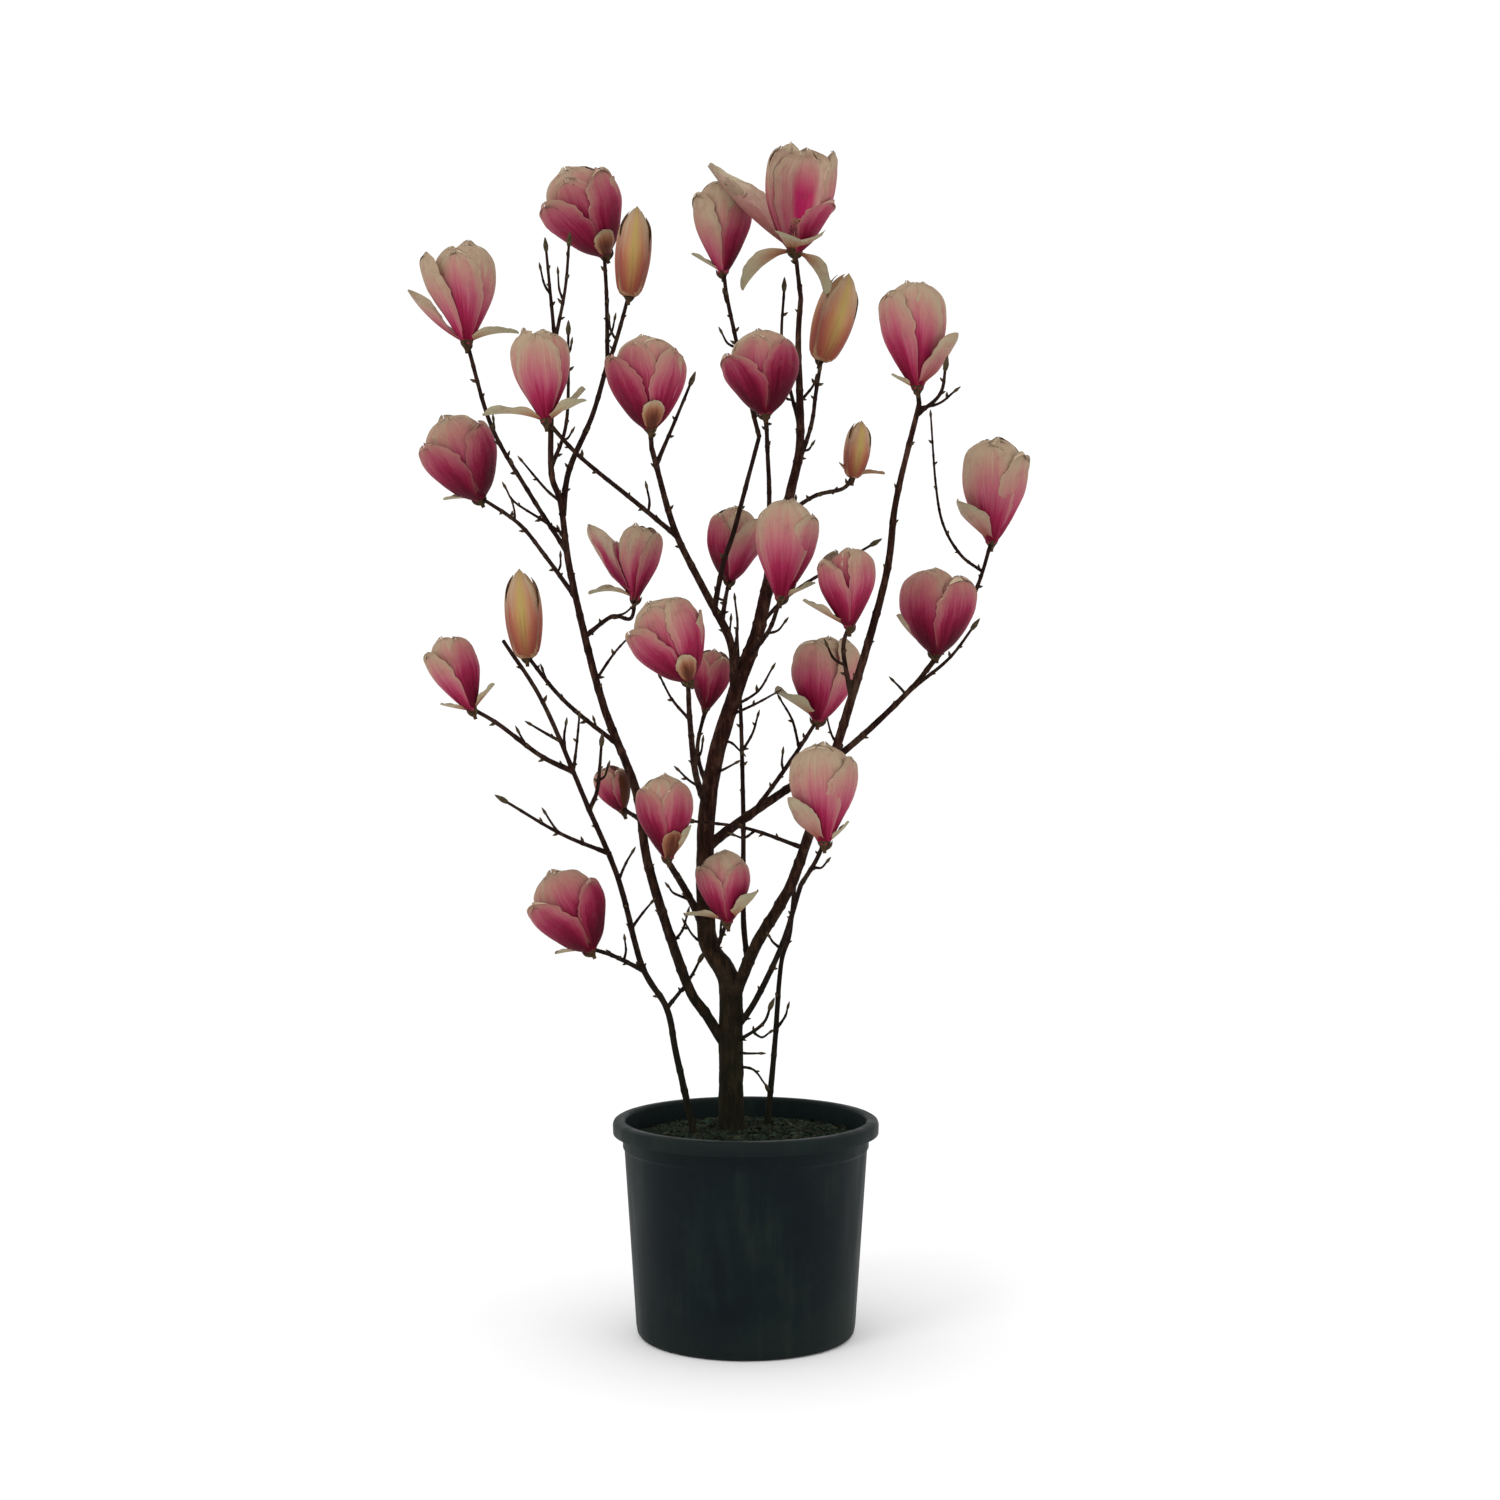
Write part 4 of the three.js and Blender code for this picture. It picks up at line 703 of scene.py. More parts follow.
class Painter:
    """Builds a material out of nodes."""

    def __init__(self, name, roughness, **sockets):
        self.material = bpy.data.materials.new(name)
        self.material.use_nodes = True
        self.nodes = self.material.node_tree.nodes
        self.links = self.material.node_tree.links
        self.surface = self.nodes["Principled BSDF"].inputs
        self.surface["Roughness"].default_value = roughness
        for socket, value in sockets.items():
            self.surface[socket.replace("_", " ")].default_value = value

    def feed(self, socket, value):
        if isinstance(value, Value):
            self.links.new(value.socket, socket)
        else:
            socket.default_value = value

    def add(self, kind, inputs, output=0, **settings):
        """A new node with its inputs fed, and what it gives at one of its outputs."""
        return Value(self, self.node(kind, inputs, **settings).outputs[output])

    def node(self, kind, inputs, **settings):
        node = self.nodes.new("ShaderNode" + kind)
        for name, value in settings.items():
            setattr(node, name, value)
        for key, value in inputs.items():
            self.feed(node.inputs[key], value)
        return node

    def math(self, operation, a, b=0.0):
        return self.add("Math", {0: a, 1: b}, operation=operation)

    def parts(self, vector):
        """The three numbers of a vector."""
        return [Value(self, socket) for socket in self.node("SeparateXYZ", {0: vector}).outputs]

    def marks(self, name):
        """The three numbers of a mark that the mesh holds on its points."""
        return self.parts(self.add("Attribute", {}, 1, attribute_name=name))

    def spot(self, stretch=(1, 1, 1)):
        """Places on the piece in metres, stretched."""
        here = self.add("TexCoord", {}, 3)
        return self.add("VectorMath", {0: here, 1: stretch}, operation="MULTIPLY")

    def noise(self, vector, scale, detail=4.0, roughness=0.55):
        inputs = {"Vector": vector, "Scale": scale, "Detail": detail, "Roughness": roughness}
        return self.add("TexNoise", inputs)

    def streaks(self, across, height, seed, detail=4.0):
        """Uneven stripes up a tepal, from about -0.5 to 0.5, in a pattern of its own on each."""
        places = self.add("CombineXYZ", {0: across, 1: height, 2: seed * 37.0})
        return self.noise(places, scale=1.0, detail=detail, roughness=0.6) - 0.5

    def ramp(self, share, *stops):
        """Colours that run into one another, each from [its place, red, green, blue]."""
        node = self.node("ValToRGB", {0: share})
        elements = node.color_ramp.elements
        while len(elements) < len(stops):
            elements.new(0.5)
        for element, (position, *shade) in zip(elements, stops):
            element.position = position
            element.color = colour(*shade)
        return Value(self, node.outputs[0])

    def fade(self, value, low, high):
        """0 where value is low, 1 where it is high."""
        return self.add("MapRange", {"Value": value, "From Min": low, "From Max": high})

    def mix(self, share, a, b):
        """From a to b. Either is a colour or what a node gives."""
        return self.add("Mix", {0: share, 6: a, 7: b}, 2, data_type="RGBA")

    def finish(self, base, height=None, distance=0.001, strength=0.5, rough=None):
        self.feed(self.surface["Base Color"], base)
        if height is not None:
            bump = self.add("Bump", {"Height": height, "Distance": distance, "Strength": strength})
            self.feed(self.surface["Normal"], bump)
        if rough is not None:
            self.feed(self.surface["Roughness"], rough)
        return self.material


def tepal_material():
    """Tepals: magenta at the foot, dusty pink, then tan cream at the top, with streaks along them."""
    paint = Painter("tepals", 0.6, Specular_IOR_Level=0.05)
    across, height, seed = paint.marks("tepal")
    inside, loose, rim = paint.marks("kind")
    pale = paint.marks("bloom")[0]
    broad = paint.streaks(across * 3.2, height, seed, detail=3.0)
    fine = paint.streaks(across * 15.0, height * 1.4, seed)
    reach = height + broad * 0.44 + fine * 0.30 + abs(across) ** 2.0 * 0.26 + (pale - 0.4) * 0.30
    deep_outer = paint.ramp(
        reach, (0.1, 64, 3, 18), (0.28, 96, 7, 35), (0.44, 124, 28, 56), (0.58, 142, 62, 78),
        (0.78, 150, 94, 90), (1.0, 148, 118, 100),
    )
    pale_outer = paint.ramp(
        reach, (0.05, 76, 3, 22), (0.22, 108, 8, 40), (0.42, 142, 34, 68), (0.58, 160, 80, 96),
        (0.77, 164, 114, 106), (1.0, 160, 140, 116),
    )
    outer = paint.mix(paint.fade(pale, 0.1, 0.6), deep_outer, pale_outer)
    inner = paint.ramp(
        reach, (0.0, 150, 40, 78), (0.3, 178, 92, 112), (0.62, 188, 132, 130), (1.0, 198, 180, 154),
    )
    flame = paint.fade(abs(across) + broad * 1.2, 0.6, 0.1) * paint.fade(height, 0.98, 0.62)
    inner = paint.mix(flame * 0.9, inner, colour(186, 14, 96))
    hanging = paint.ramp(
        reach, (0.02, 74, 42, 26), (0.14, 118, 72, 50), (0.3, 148, 110, 82), (0.6, 162, 148, 120),
        (1.0, 154, 150, 122),
    )
    base = paint.mix(loose, paint.mix(inside, outer, inner), hanging)
    spots = paint.noise(paint.spot(), scale=75.0, detail=3.0)
    bruises = paint.fade(spots, 0.52, 0.72) * paint.fade(height, 0.15, 0.6)
    base = paint.mix(bruises * 0.3, base, colour(122, 74, 70))
    base = paint.mix(rim * 0.4, base, colour(138, 120, 96))
    veins = paint.fade(abs(fine), 0.09, 0.0)
    base = paint.mix(veins * 0.16, base, colour(110, 24, 52))
    return paint.finish(base, fine, distance=0.0012, strength=0.5, rough=paint.fade(fine, -1.3, 1.1))


def bud_material():
    """Bud tepals: an olive yellow stripe up the middle, pink red sides and foot, and a tan top."""
    paint = Painter("bud_tepals", 0.65, Specular_IOR_Level=0.12)
    across, height, seed = paint.marks("tepal")
    inside, inner, rim = paint.marks("kind")
    streaks = paint.streaks(across * 9.0, height * 1.6, seed)
    side = abs(across) + streaks * 0.6
    stripe = paint.ramp(
        side, (0.0, 160, 140, 78), (0.22, 166, 128, 78), (0.46, 160, 102, 74), (0.76, 142, 76, 66),
        (1.0, 134, 92, 78),
    )
    upper = paint.fade(height + streaks, 0.4, 0.8)
    stripe = paint.mix(upper * paint.fade(side, 0.0, 0.6), stripe, colour(162, 138, 110))
    foot = paint.fade(height + streaks * 0.5, 0.5, 0.04)
    base = paint.mix(foot * 0.85, stripe, colour(118, 50, 38))
    base = paint.mix(paint.math("MAXIMUM", inner, inside), base, colour(140, 106, 76))
    tip = paint.math("MAXIMUM", paint.fade(height, 0.82, 1.0), rim)
    base = paint.mix(tip * 0.6, base, colour(124, 106, 76))
    return paint.finish(base, streaks, distance=0.0012, strength=0.5)


def bark_material():
    """Bark: dark brown with fine streaks, pale pores and a little grey green bloom. It is greener at the
    foot of the trunk and redder up in the crown."""
    paint = Painter("bark", 0.85, Specular_IOR_Level=0.07)
    thickness = paint.marks("limb")[0]
    up = paint.parts(paint.spot())[2]
    grain = paint.noise(paint.spot((1, 1, 0.22)), scale=190.0, detail=5.0, roughness=0.65)
    patches = paint.noise(paint.spot(), scale=26.0, detail=3.0)
    thick = paint.ramp(grain, (0.28, 11, 8, 4), (0.5, 28, 20, 11), (0.72, 52, 39, 23))
    thin = paint.ramp(grain, (0.28, 9, 6, 5), (0.5, 24, 15, 12), (0.75, 46, 30, 23))
    crown = paint.ramp(
        grain + (patches - 0.5) * 0.7, (0.24, 13, 4, 3), (0.48, 40, 17, 12), (0.74, 80, 54, 43),
    )
    redder = paint.fade(up, 0.34, 0.7) * paint.fade(thickness, -0.6, 1.2)
    base = paint.mix(redder, paint.mix(thickness, thin, thick), crown)
    base = paint.mix(paint.fade(up, 0.52, 0.26) * 0.4, base, colour(18, 30, 18))
    weathered = paint.fade(patches, 0.54, 0.74)
    base = paint.mix(weathered * 0.3, base, colour(52, 50, 36))
    cells = paint.add("TexVoronoi", {"Vector": paint.spot((1, 1, 1.8)), "Scale": 210.0})
    pores = paint.fade(cells, 0.2, 0.1)
    base = paint.mix(pores * 0.3, base, colour(84, 68, 52))
    return paint.finish(base, grain + pores * 0.3, distance=0.0014, strength=0.8)


def scale_material():
    """Winter buds and the feet of the blooms: olive brown with short grey down."""
    paint = Painter("bud_scales", 0.8, Specular_IOR_Level=0.15)
    fluff = paint.marks("limb")[0]
    down = paint.noise(paint.spot((1, 1, 0.4)), scale=620.0, detail=4.0, roughness=0.6)
    bare = paint.ramp(down, (0.3, 30, 18, 10), (0.55, 60, 40, 20), (0.8, 96, 70, 38))
    downy = paint.ramp(down, (0.3, 34, 28, 18), (0.55, 66, 56, 36), (0.8, 104, 94, 64))
    return paint.finish(paint.mix(fluff, bare, downy), down, distance=0.0006, strength=0.6)


def heart_material():
    """Stamens and pistils: rose at the foot, and greenish cream above."""
    paint = Painter("hearts", 0.6, Specular_IOR_Level=0.3)
    speckle = paint.noise(paint.spot(), scale=500.0, detail=3.0)
    base = paint.ramp(paint.marks("limb")[0], (0.0, 116, 16, 54), (0.6, 144, 52, 76), (1.0, 158, 130, 96))
    base = paint.mix(speckle * 0.25, base, colour(120, 96, 60))
    return paint.finish(base, speckle, distance=0.0004, strength=0.4)


def plastic_material():
    """Moulded black plastic with a blue green cast: satin, dusty where soil and water have run."""
    paint = Painter("pot_plastic", 0.6, Specular_IOR_Level=0.06)
    up = paint.parts(paint.spot())[2]
    runs = paint.noise(paint.spot((1, 1, 0.12)), scale=46.0, detail=4.0, roughness=0.6)
    clouds = paint.noise(paint.spot(), scale=11.0, detail=4.0, roughness=0.6)
    base = paint.ramp(clouds, (0.3, 9, 17, 21), (0.55, 13, 23, 25), (0.75, 19, 29, 26))
    streaked = paint.fade(runs, 0.5, 0.74) * paint.fade(clouds, 0.35, 0.7)
    ends = paint.fade(up, 0.06, 0.0) + paint.fade(up, 0.225, POT_HEIGHT * MM)
    dust = streaked * 0.16 + ends * 0.06
    limited = paint.add("Clamp", {"Value": dust, "Min": 0.0, "Max": 1.0})
    base = paint.mix(limited, base, colour(72, 82, 66))
    texture = paint.noise(paint.spot(), scale=900.0, detail=3.0)
    rough = paint.fade(runs + dust, -0.5, 1.6)
    return paint.finish(base, texture, distance=0.0003, strength=0.35, rough=rough)


def soil_material():
    """Moist peat mix: nearly black, mottled brown and green."""
    paint = Painter("soil", 0.95, Specular_IOR_Level=0.1)
    mottled = paint.noise(paint.spot(), scale=120.0, detail=6.0, roughness=0.7)
    patches = paint.fade(paint.noise(paint.spot(), scale=24.0, detail=3.0), 0.48, 0.66)
    base = paint.ramp(mottled, (0.3, 8, 8, 5), (0.52, 21, 21, 13), (0.75, 44, 42, 26))
    base = paint.mix(patches * 0.6, base, colour(26, 40, 30))
    return paint.finish(base, mottled, distance=0.004, strength=0.9)


def chip_material():
    """Chips of bark and crumbs of peat, each with its own shade."""
    paint = Painter("chips", 0.92, Specular_IOR_Level=0.1)
    shade, green, _ = paint.marks("chip")
    grain = paint.noise(paint.spot(), scale=330.0, detail=5.0, roughness=0.7)
    base = paint.ramp(
        shade + (grain - 0.5) * 0.5, (0.1, 9, 12, 8), (0.45, 28, 32, 20), (0.75, 54, 56, 36),
        (1.0, 84, 82, 56),
    )
    base = paint.mix(green * 0.75, base, colour(34, 56, 42))
    return paint.finish(base, grain, distance=0.002, strength=0.8)


# The pot
def pot_outline():
    """[radius, height] pairs from the middle of the underside, out and up to the rim, and down inside."""
    inner, outer, depth, slope = (FOOT_GROOVE[key] for key in ("inner", "outer", "depth", "slope"))
    across, up = CHAMFER
    foot = [[FOOT_RADIUS - inwards, high] for inwards, high in FOOT_ROUNDING]
    lip = [[RIM_RADIUS - inwards, POT_HEIGHT - down] for inwards, down in LIP_ROUNDING]
    return [
        [PINHOLE, 0], [inner, 0], [inner + slope, depth], [outer - slope, depth], [outer, 0], *foot,
        [COLLAR_RADIUS - across, COLLAR_FOOT], [COLLAR_RADIUS, COLLAR_FOOT + up],
        [COLLAR_RADIUS, POT_HEIGHT - LIP_THICKNESS], *lip,
        [COLLAR_INSIDE + across, POT_HEIGHT], [COLLAR_INSIDE, POT_HEIGHT - up],
        [COLLAR_INSIDE, COLLAR_FOOT + up], [COLLAR_INSIDE - across, COLLAR_FOOT],
        [FOOT_RADIUS - WALL, FLOOR], [PINHOLE, FLOOR],
    ]


def hole_drills(material):
    """Closed pegs where the pot's drain holes go."""
    drills = Pile()
    for turn in (np.arange(DRAIN_HOLES["count"]) + 0.5) / DRAIN_HOLES["count"] * CIRCLE:
        middle = np.array([np.cos(turn), np.sin(turn), 0]) * DRAIN_HOLES["at"]
        ring = [[DRAIN_HOLES["radius"], -FLOOR], [DRAIN_HOLES["radius"], 3 * FLOOR]]
        points, quads = turned(ring, DRAIN_HOLES["sides"])
        drills.add(points + middle, quads)
    mesh = drills.mesh("drill", material)
    closed = bmesh.new()
    closed.from_mesh(mesh)
    bmesh.ops.holes_fill(closed, edges=closed.edges)
    closed.to_mesh(mesh)
    closed.free()
    return add_object("drill", mesh)


def make_pot(material):
    outline = pot_outline()
    points, quads = turned(outline, POT_SIDES)
    ring = np.arange(POT_SIDES)
    under = fan(ring, len(points))[:, [1, 0, 2]]
    floor = fan((len(outline) - 1) * POT_SIDES + ring, len(points) + 1)
    pile = Pile()
    pile.add([*points, [0, 0, outline[0][1]], [0, 0, outline[-1][1]]], quads, np.vstack([under, floor]))
    pot = pile.piece("pot_shell", material, "pot", ["pot"])
    drill = hole_drills(material)
    cut = pot.modifiers.new("drain_holes", "BOOLEAN")
    cut.operation = "DIFFERENCE"
    cut.object = drill
    rounded = pot.modifiers.new("rounded", "BEVEL")
    rounded.width = POT_BEVEL["width"] * MM
    rounded.segments = 2
    rounded.limit_method = "ANGLE"
    rounded.angle_limit = np.radians(POT_BEVEL["from_angle"])
    applied = bpy.data.meshes.new_from_object(pot.evaluated_get(bpy.context.evaluated_depsgraph_get()))
    pot.modifiers.clear()
    pot.data = applied
    bpy.data.objects.remove(drill)
    applied.shade_smooth()
    applied.set_sharp_from_angle(angle=np.radians(POT_BEVEL["sharp_from"]))


# The soil
def soil_height(radius):
    edge = COLLAR_INSIDE - SOIL["gap"]
    fallen = np.clip((radius - SOIL["flat_radius"]) / (edge - SOIL["flat_radius"]), 0, 1)
    return SOIL["top"] - SOIL["fall"] * fallen


def make_soil(material):
    across, up = CHAMFER
    inside = COLLAR_INSIDE - SOIL["gap"]
    foot = FOOT_RADIUS - WALL - SOIL["gap"]
    bottom = FLOOR + SOIL["gap"]
    wall = [[PINHOLE, bottom], [foot, bottom], [inside - across, COLLAR_FOOT], [inside, COLLAR_FOOT + up]]
    top = [[radius, soil_height(radius)] for radius in np.linspace(inside, PINHOLE, SOIL["rings"])]
    points, quads = turned(wall + top, SOIL["sides"])
    on_top = points[:, 2] > COLLAR_FOOT + up + 0.5
    surface = points[on_top]
    uneven = sum(high * ripples(surface, wavelength, seed) for high, wavelength, seed in SOIL_WAVES)
    from_wall = inside - np.hypot(surface[:, 0], surface[:, 1])
    points[on_top, 2] += np.minimum(uneven, SOIL["highest"]) * ease(-1, 4, from_wall)
    pile = Pile()
    pile.add(points, quads)
    pile.piece("soil_bed", material, "soil", ["potting_soil"])


def pebble(subdivisions):
    """The points and triangles of a small ball."""
    ball = bmesh.new()
    bmesh.ops.create_icosphere(ball, subdivisions=subdivisions, radius=1)
    points = np.array([v.co for v in ball.verts])
    tris = np.array([[v.index for v in face.verts] for face in ball.faces])
    ball.free()
    return points, tris


def turning(rng, tilt):
    """A random turn about the upright, tipped by up to tilt radians."""
    spin, lean, way = rng.uniform(0, CIRCLE), rng.normal(0, tilt), rng.uniform(0, CIRCLE)
    return about(2, way) @ about(0, lean) @ about(2, spin)


def strew(material, name, count, smallest, largest, subdivisions, boxy, tilt, seed):
    """Chips or crumbs over the soil, clear of the feet of the stems."""
    rng = np.random.default_rng(seed)
    feet = [(stand(TRUNK["foot"]), STEM_CLEARANCE["trunk"])]
    feet += [(stand(spec["foot"]), STEM_CLEARANCE["stem"]) for spec in BOUGHS if "foot" in spec]
    points, tris = pebble(subdivisions)
    points = np.sign(points) * np.abs(points) ** boxy
    pile = Pile()
    while len(pile.points) < count:
        radius = (COLLAR_INSIDE - STREWN["from_wall"]) * np.sqrt(rng.uniform())
        turn = rng.uniform(0, CIRCLE)
        spot = np.array([radius * np.cos(turn), radius * np.sin(turn), 0])
        size = rng.uniform(smallest, largest)
        if any(np.hypot(*(spot - foot)[:2]) < clear + size[0] for foot, clear in feet):
            continue
        spot[2] = soil_height(radius) + rng.uniform(STREWN["lowest"], STREWN["highest"])
        jitter = points * (1 + STREWN["jitter"] * rng.normal(size=(len(points), 1)))
        shade = np.clip([rng.beta(2, 4), rng.uniform() ** 3, rng.uniform()], 0, 1)
        pile.add((jitter * size / 2) @ turning(rng, tilt).T + spot, tris=tris, chip=shade)
    pile.piece(name, material, "soil", ["potting_soil"], smooth=False)


# The limbs
def even(foot, tip):
    """An even taper from one radius to another."""
    def radius_of(shares, turns):
        return foot + (tip - foot) * shares

    return radius_of


def with_knots(radius_of, line, seed, spacing, swell, wide):
    """Adds the swellings under the buds of each year's growth, and says where they are."""
    rng = np.random.default_rng(seed)
    count = int(line.length / spacing)
    places = (np.arange(count) + 0.5 + 0.3 * rng.uniform(-1, 1, count)) * spacing

    def knotted(shares, turns):
        along = shares * line.length
        bumps = sum((np.exp(-(((along - there) / wide) ** 2)) for there in places), np.zeros_like(along))
        return radius_of(shares, turns) * (1 + swell * bumps)

    return knotted, places / line.length


def trunk_radius(limb):
    """The trunk's radius: its girth at each height, and its ribbed root flare above the soil."""
    heights, girths = np.array(TRUNK["girth"]).T

    def radius_of(shares, turns):
        up = np.interp(shares * limb.line.length, limb.line.reach, limb.seen[:, 1])
        flare = np.exp(-np.maximum(0, up - SOIL["top"]) / FLARE["height"])
        ribs = 1 + FLARE["rib_depth"] * flare * np.cos(FLARE["ribs"] * turns)
        return np.interp(up, heights, girths) * (1 + FLARE["spread"] * flare) * ribs

    return radius_of


def run_on(radius_of, line, girth):
    """Runs on from a trunk of this girth without a step."""
    def blended(shares, turns):
        share = np.exp(-shares * line.length / LEADER_BLEND)
        return radius_of(shares, turns) * (1 - share) + girth * share

    return blended


def small_bud(pile, foot, direction, long, wide, fluff):
    """A pointed bud, its foot sunk a little into what bears it."""
    line = Line([foot + direction * share * long for share in (-0.15, 0.2, 0.6, 1)])

    def radius_of(shares, turns):
        scales = 1 + 0.06 * np.cos(2 * turns + 14 * shares)
        return wide / 2 * np.sin(np.pi * np.clip(0.12 + 0.86 * shares**0.75, 0, 1)) ** 0.8 * scales

    pile.add_tube(line, radius_of, sides=8, step=long / 7, mark=fluff)


class Tree:
    """Grows every limb, twig and bud, and keeps what the blooms are set on."""

    def __init__(self):
        self.limbs = {}
        self.bark, self.twigs, self.scales = Pile(), Pile(), Pile()
        self.obstacles = []

    def remember(self, owner, line, radius):
        shares = np.linspace(0, 1, int(np.ceil(line.length / OBSTACLE_SPACING)) + 1)
        self.obstacles.append((owner, line.at(shares), radius))

    def is_clear(self, points, owner):
        for other, balls, radius in self.obstacles:
            apart = np.linalg.norm(balls[:, None] - points[None], axis=-1)
            if other != owner and apart.min() <= radius + SPUR["clear"]:
                return False
        return True

    def limb_of(self, spec):
        start = spec["foot"] if "foot" in spec else self.limbs[spec["of"]].at_height(spec["leaves"])
        return Limb([start, *spec.get("via", []), spec["tip"]])

    def tapered(self, spec, foot, tip, line):
        """An even taper, with a swollen collar where the limb leaves another's side."""
        on_tip = "of" in spec and self.limbs[spec["of"]].tip[1] - spec["leaves"] < 1
        swell = 0 if on_tip else COLLAR_SWELL["share"]
        plain = even(foot, tip)

        def radius_of(shares, turns):
            collar = 1 + swell * np.exp(-shares * line.length / COLLAR_SWELL["reach"])
            return plain(shares, turns) * collar

        return radius_of

    def grow_limbs(self):
        trunk = Limb([TRUNK["foot"], *TRUNK["via"], TRUNK["tip"]])
        self.limbs["trunk"] = trunk
        self.bark.add_tube(trunk.line, trunk_radius(trunk), mark=1.0, seed=SEEDS["trunk"], **DRAWN["trunk"])
        self.remember("trunk", trunk.line, TRUNK["girth"][1][1])
        for index, spec in enumerate(BOUGHS):
            limb = self.limb_of(spec)
            foot, tip = spec["radius"]
            radius_of = self.tapered(spec, foot, tip, limb.line)
            if spec["name"] == "leader":
                radius_of = run_on(radius_of, limb.line, TRUNK["girth"][-1][1])
            knotted, knots = with_knots(radius_of, limb.line, index, **KNOTS["bough"])
            thickness = float(ease(2.5, 9, foot))
            seed = SEEDS["bough"] + index
            self.bark.add_tube(limb.line, knotted, mark=thickness, seed=seed, **DRAWN["bough"])
            self.add_buds(limb.line, knots, tip, SEEDS["bough_buds"] + index)
            if "budded" in spec:
                self.add_winter_bud(limb.line)
            self.limbs[spec["name"]] = limb
            self.remember(spec["name"], limb.line, foot)

    def add_buds(self, line, shares, radius, seed):
        """Small buds at the knots of a limb, turned by the golden angle from one to the next."""
        rng = np.random.default_rng(seed)
        for i, share in enumerate(shares):
            along = line.along(share)
            side = unit(np.cross([0, 1, 0.01], along))
            turn = i * GOLDEN_ANGLE + rng.uniform(0, 1)
            out = np.cos(turn) * side + np.sin(turn) * np.cross(along, side)
            foot = line.at(share) + out * radius * 0.9
            long = rng.uniform(SIDE_BUD["shortest"], SIDE_BUD["longest"])
            direction = unit(along * SIDE_BUD["upwards"] + out)
            wide = SIDE_BUD["width_share"] * long + SIDE_BUD["least_width"]
            small_bud(self.scales, foot, direction, long, wide, SIDE_BUD["fluff"])

    def add_winter_bud(self, line):
        """The large bud at the tip of a stem that bears no bloom."""
        foot = line.at(1) - line.along(1) * WINTER_BUD["sunk"] * WINTER_BUD["long"]
        small_bud(self.scales, foot, line.along(1), WINTER_BUD["long"], WINTER_BUD["wide"], 1.0)

    def spurs_of(self, owner, line, seed):
        """A shoot's spurs: short side twigs, set round its stem by a seeded rule at the golden angle."""
        draw = seeded(seed)
        count = int(line.length / SPUR["spacing"])
        spurs = []
        for i in range(count):
            share = (i + SPUR_PLACE["first"] + SPUR_PLACE["spread"] * draw()) / count
            long = SPUR["shortest"] + (SPUR["longest"] - SPUR["shortest"]) * draw()
            turn = i * GOLDEN_ANGLE + CIRCLE * draw()
            if not SPUR_PLACE["lowest"] <= share <= SPUR_PLACE["highest"]:
                continue
            along = line.along(share)
            side = unit(np.cross([0, 1, 0], along))
            outward = side * np.cos(turn) + np.cross(along, side) * np.sin(turn)
            foot = line.at(share)
            knee = foot + along * SPUR_KNEE["along"] * long + outward * SPUR_KNEE["out"] * long
            tip = knee + along * SPUR_END["along"] * long + outward * SPUR_END["out"] * long
            tip[2] += SPUR_END["up"] * long
            if self.is_clear(np.array([knee, tip]), owner):
                spurs.append(Line(spline([foot, knee, tip], 6)))
        return spurs

    def add_twig(self, line, foot, tip, seed):
        """A thin twig with knots and side buds, ending in a bud of its own."""
        knotted, knots = with_knots(even(foot, tip), line, seed, **KNOTS["twig"])
        self.twigs.add_tube(line, knotted, mark=0.0, seed=seed, **DRAWN["twig"])
        if line.length > TWIG_BUDS["from_length"]:
            self.add_buds(line, knots[::2], tip, seed)
        long, wide = TWIG_BUDS["long"] + 3 * tip, TWIG_BUDS["wide"] + 1.2 * tip
        small_bud(self.scales, line.at(1), line.along(1), long, wide, TWIG_BUDS["fluff"])

    def grow_stem(self, owner, spec, sizes, seed):
        """A shoot's stem with its spurs, and the longer side twig that one of them has."""
        limb = self.limb_of(spec)
        line = limb.line
        radius_of = self.tapered(spec, sizes["foot"], sizes["tip"], line)
        knotted, knots = with_knots(radius_of, line, seed, **KNOTS["stem"])
        self.twigs.add_tube(line, knotted, mark=0.15, seed=SEEDS["stem"] + seed, **DRAWN["stem"])
        self.add_buds(line, knots[(knots > 0.1) & (knots < 0.9)], sizes["tip"], SEEDS["stem_buds"] + seed)
        for number, spur in enumerate(self.spurs_of(owner, line, seed)):
            self.add_twig(spur, SPUR["foot"], SPUR["tip"], SEEDS["spurs"] + 10 * seed + number)
        if "side" in spec:
            side = spec["side"]
            twig = Limb([limb.at_height(side["leaves"]), *side["via"], side["tip"]])
            self.add_twig(twig.line, SPUR["foot"] + 0.4, SPUR["tip"], SEEDS["side_twig"] + seed)
        return limb

    def grow_shoots(self):
        shoots = [("flowering_shoot_" + spec["name"], spec, STEM) for spec in SHOOTS]
        shoots += [("bare_shoot_" + spec["name"], spec, BARE_STEM) for spec in BARE_SHOOTS]
        for owner, spec, sizes in shoots:
            self.remember(owner, self.limb_of(spec).line, sizes["foot"])
            if head := head_of(spec):
                axis = np.outer(HEAD_SHARES * head["long"], [0, 0, 1])
                self.obstacles.append((owner, seat(axis, spec), head["wide"] / 2))
        grown = {}
        for index, (owner, spec, sizes) in enumerate(shoots):
            grown[owner] = self.grow_stem(owner, spec, sizes, index + 1)
            if sizes is BARE_STEM:
                self.add_winter_bud(grown[owner].line)
        for index, (name, leaves, *places) in enumerate(FINE_TWIGS):
            parent = self.limbs.get(name) or grown[name]
            start = parent.at_height(leaves)
            spots = [[across, up, start[2] + deep] for across, up, deep in places]
            line = Limb([start, *spots]).line
            self.add_twig(line, FINE_TWIG["foot"], FINE_TWIG["tip"], SEEDS["fine_twigs"] + index)


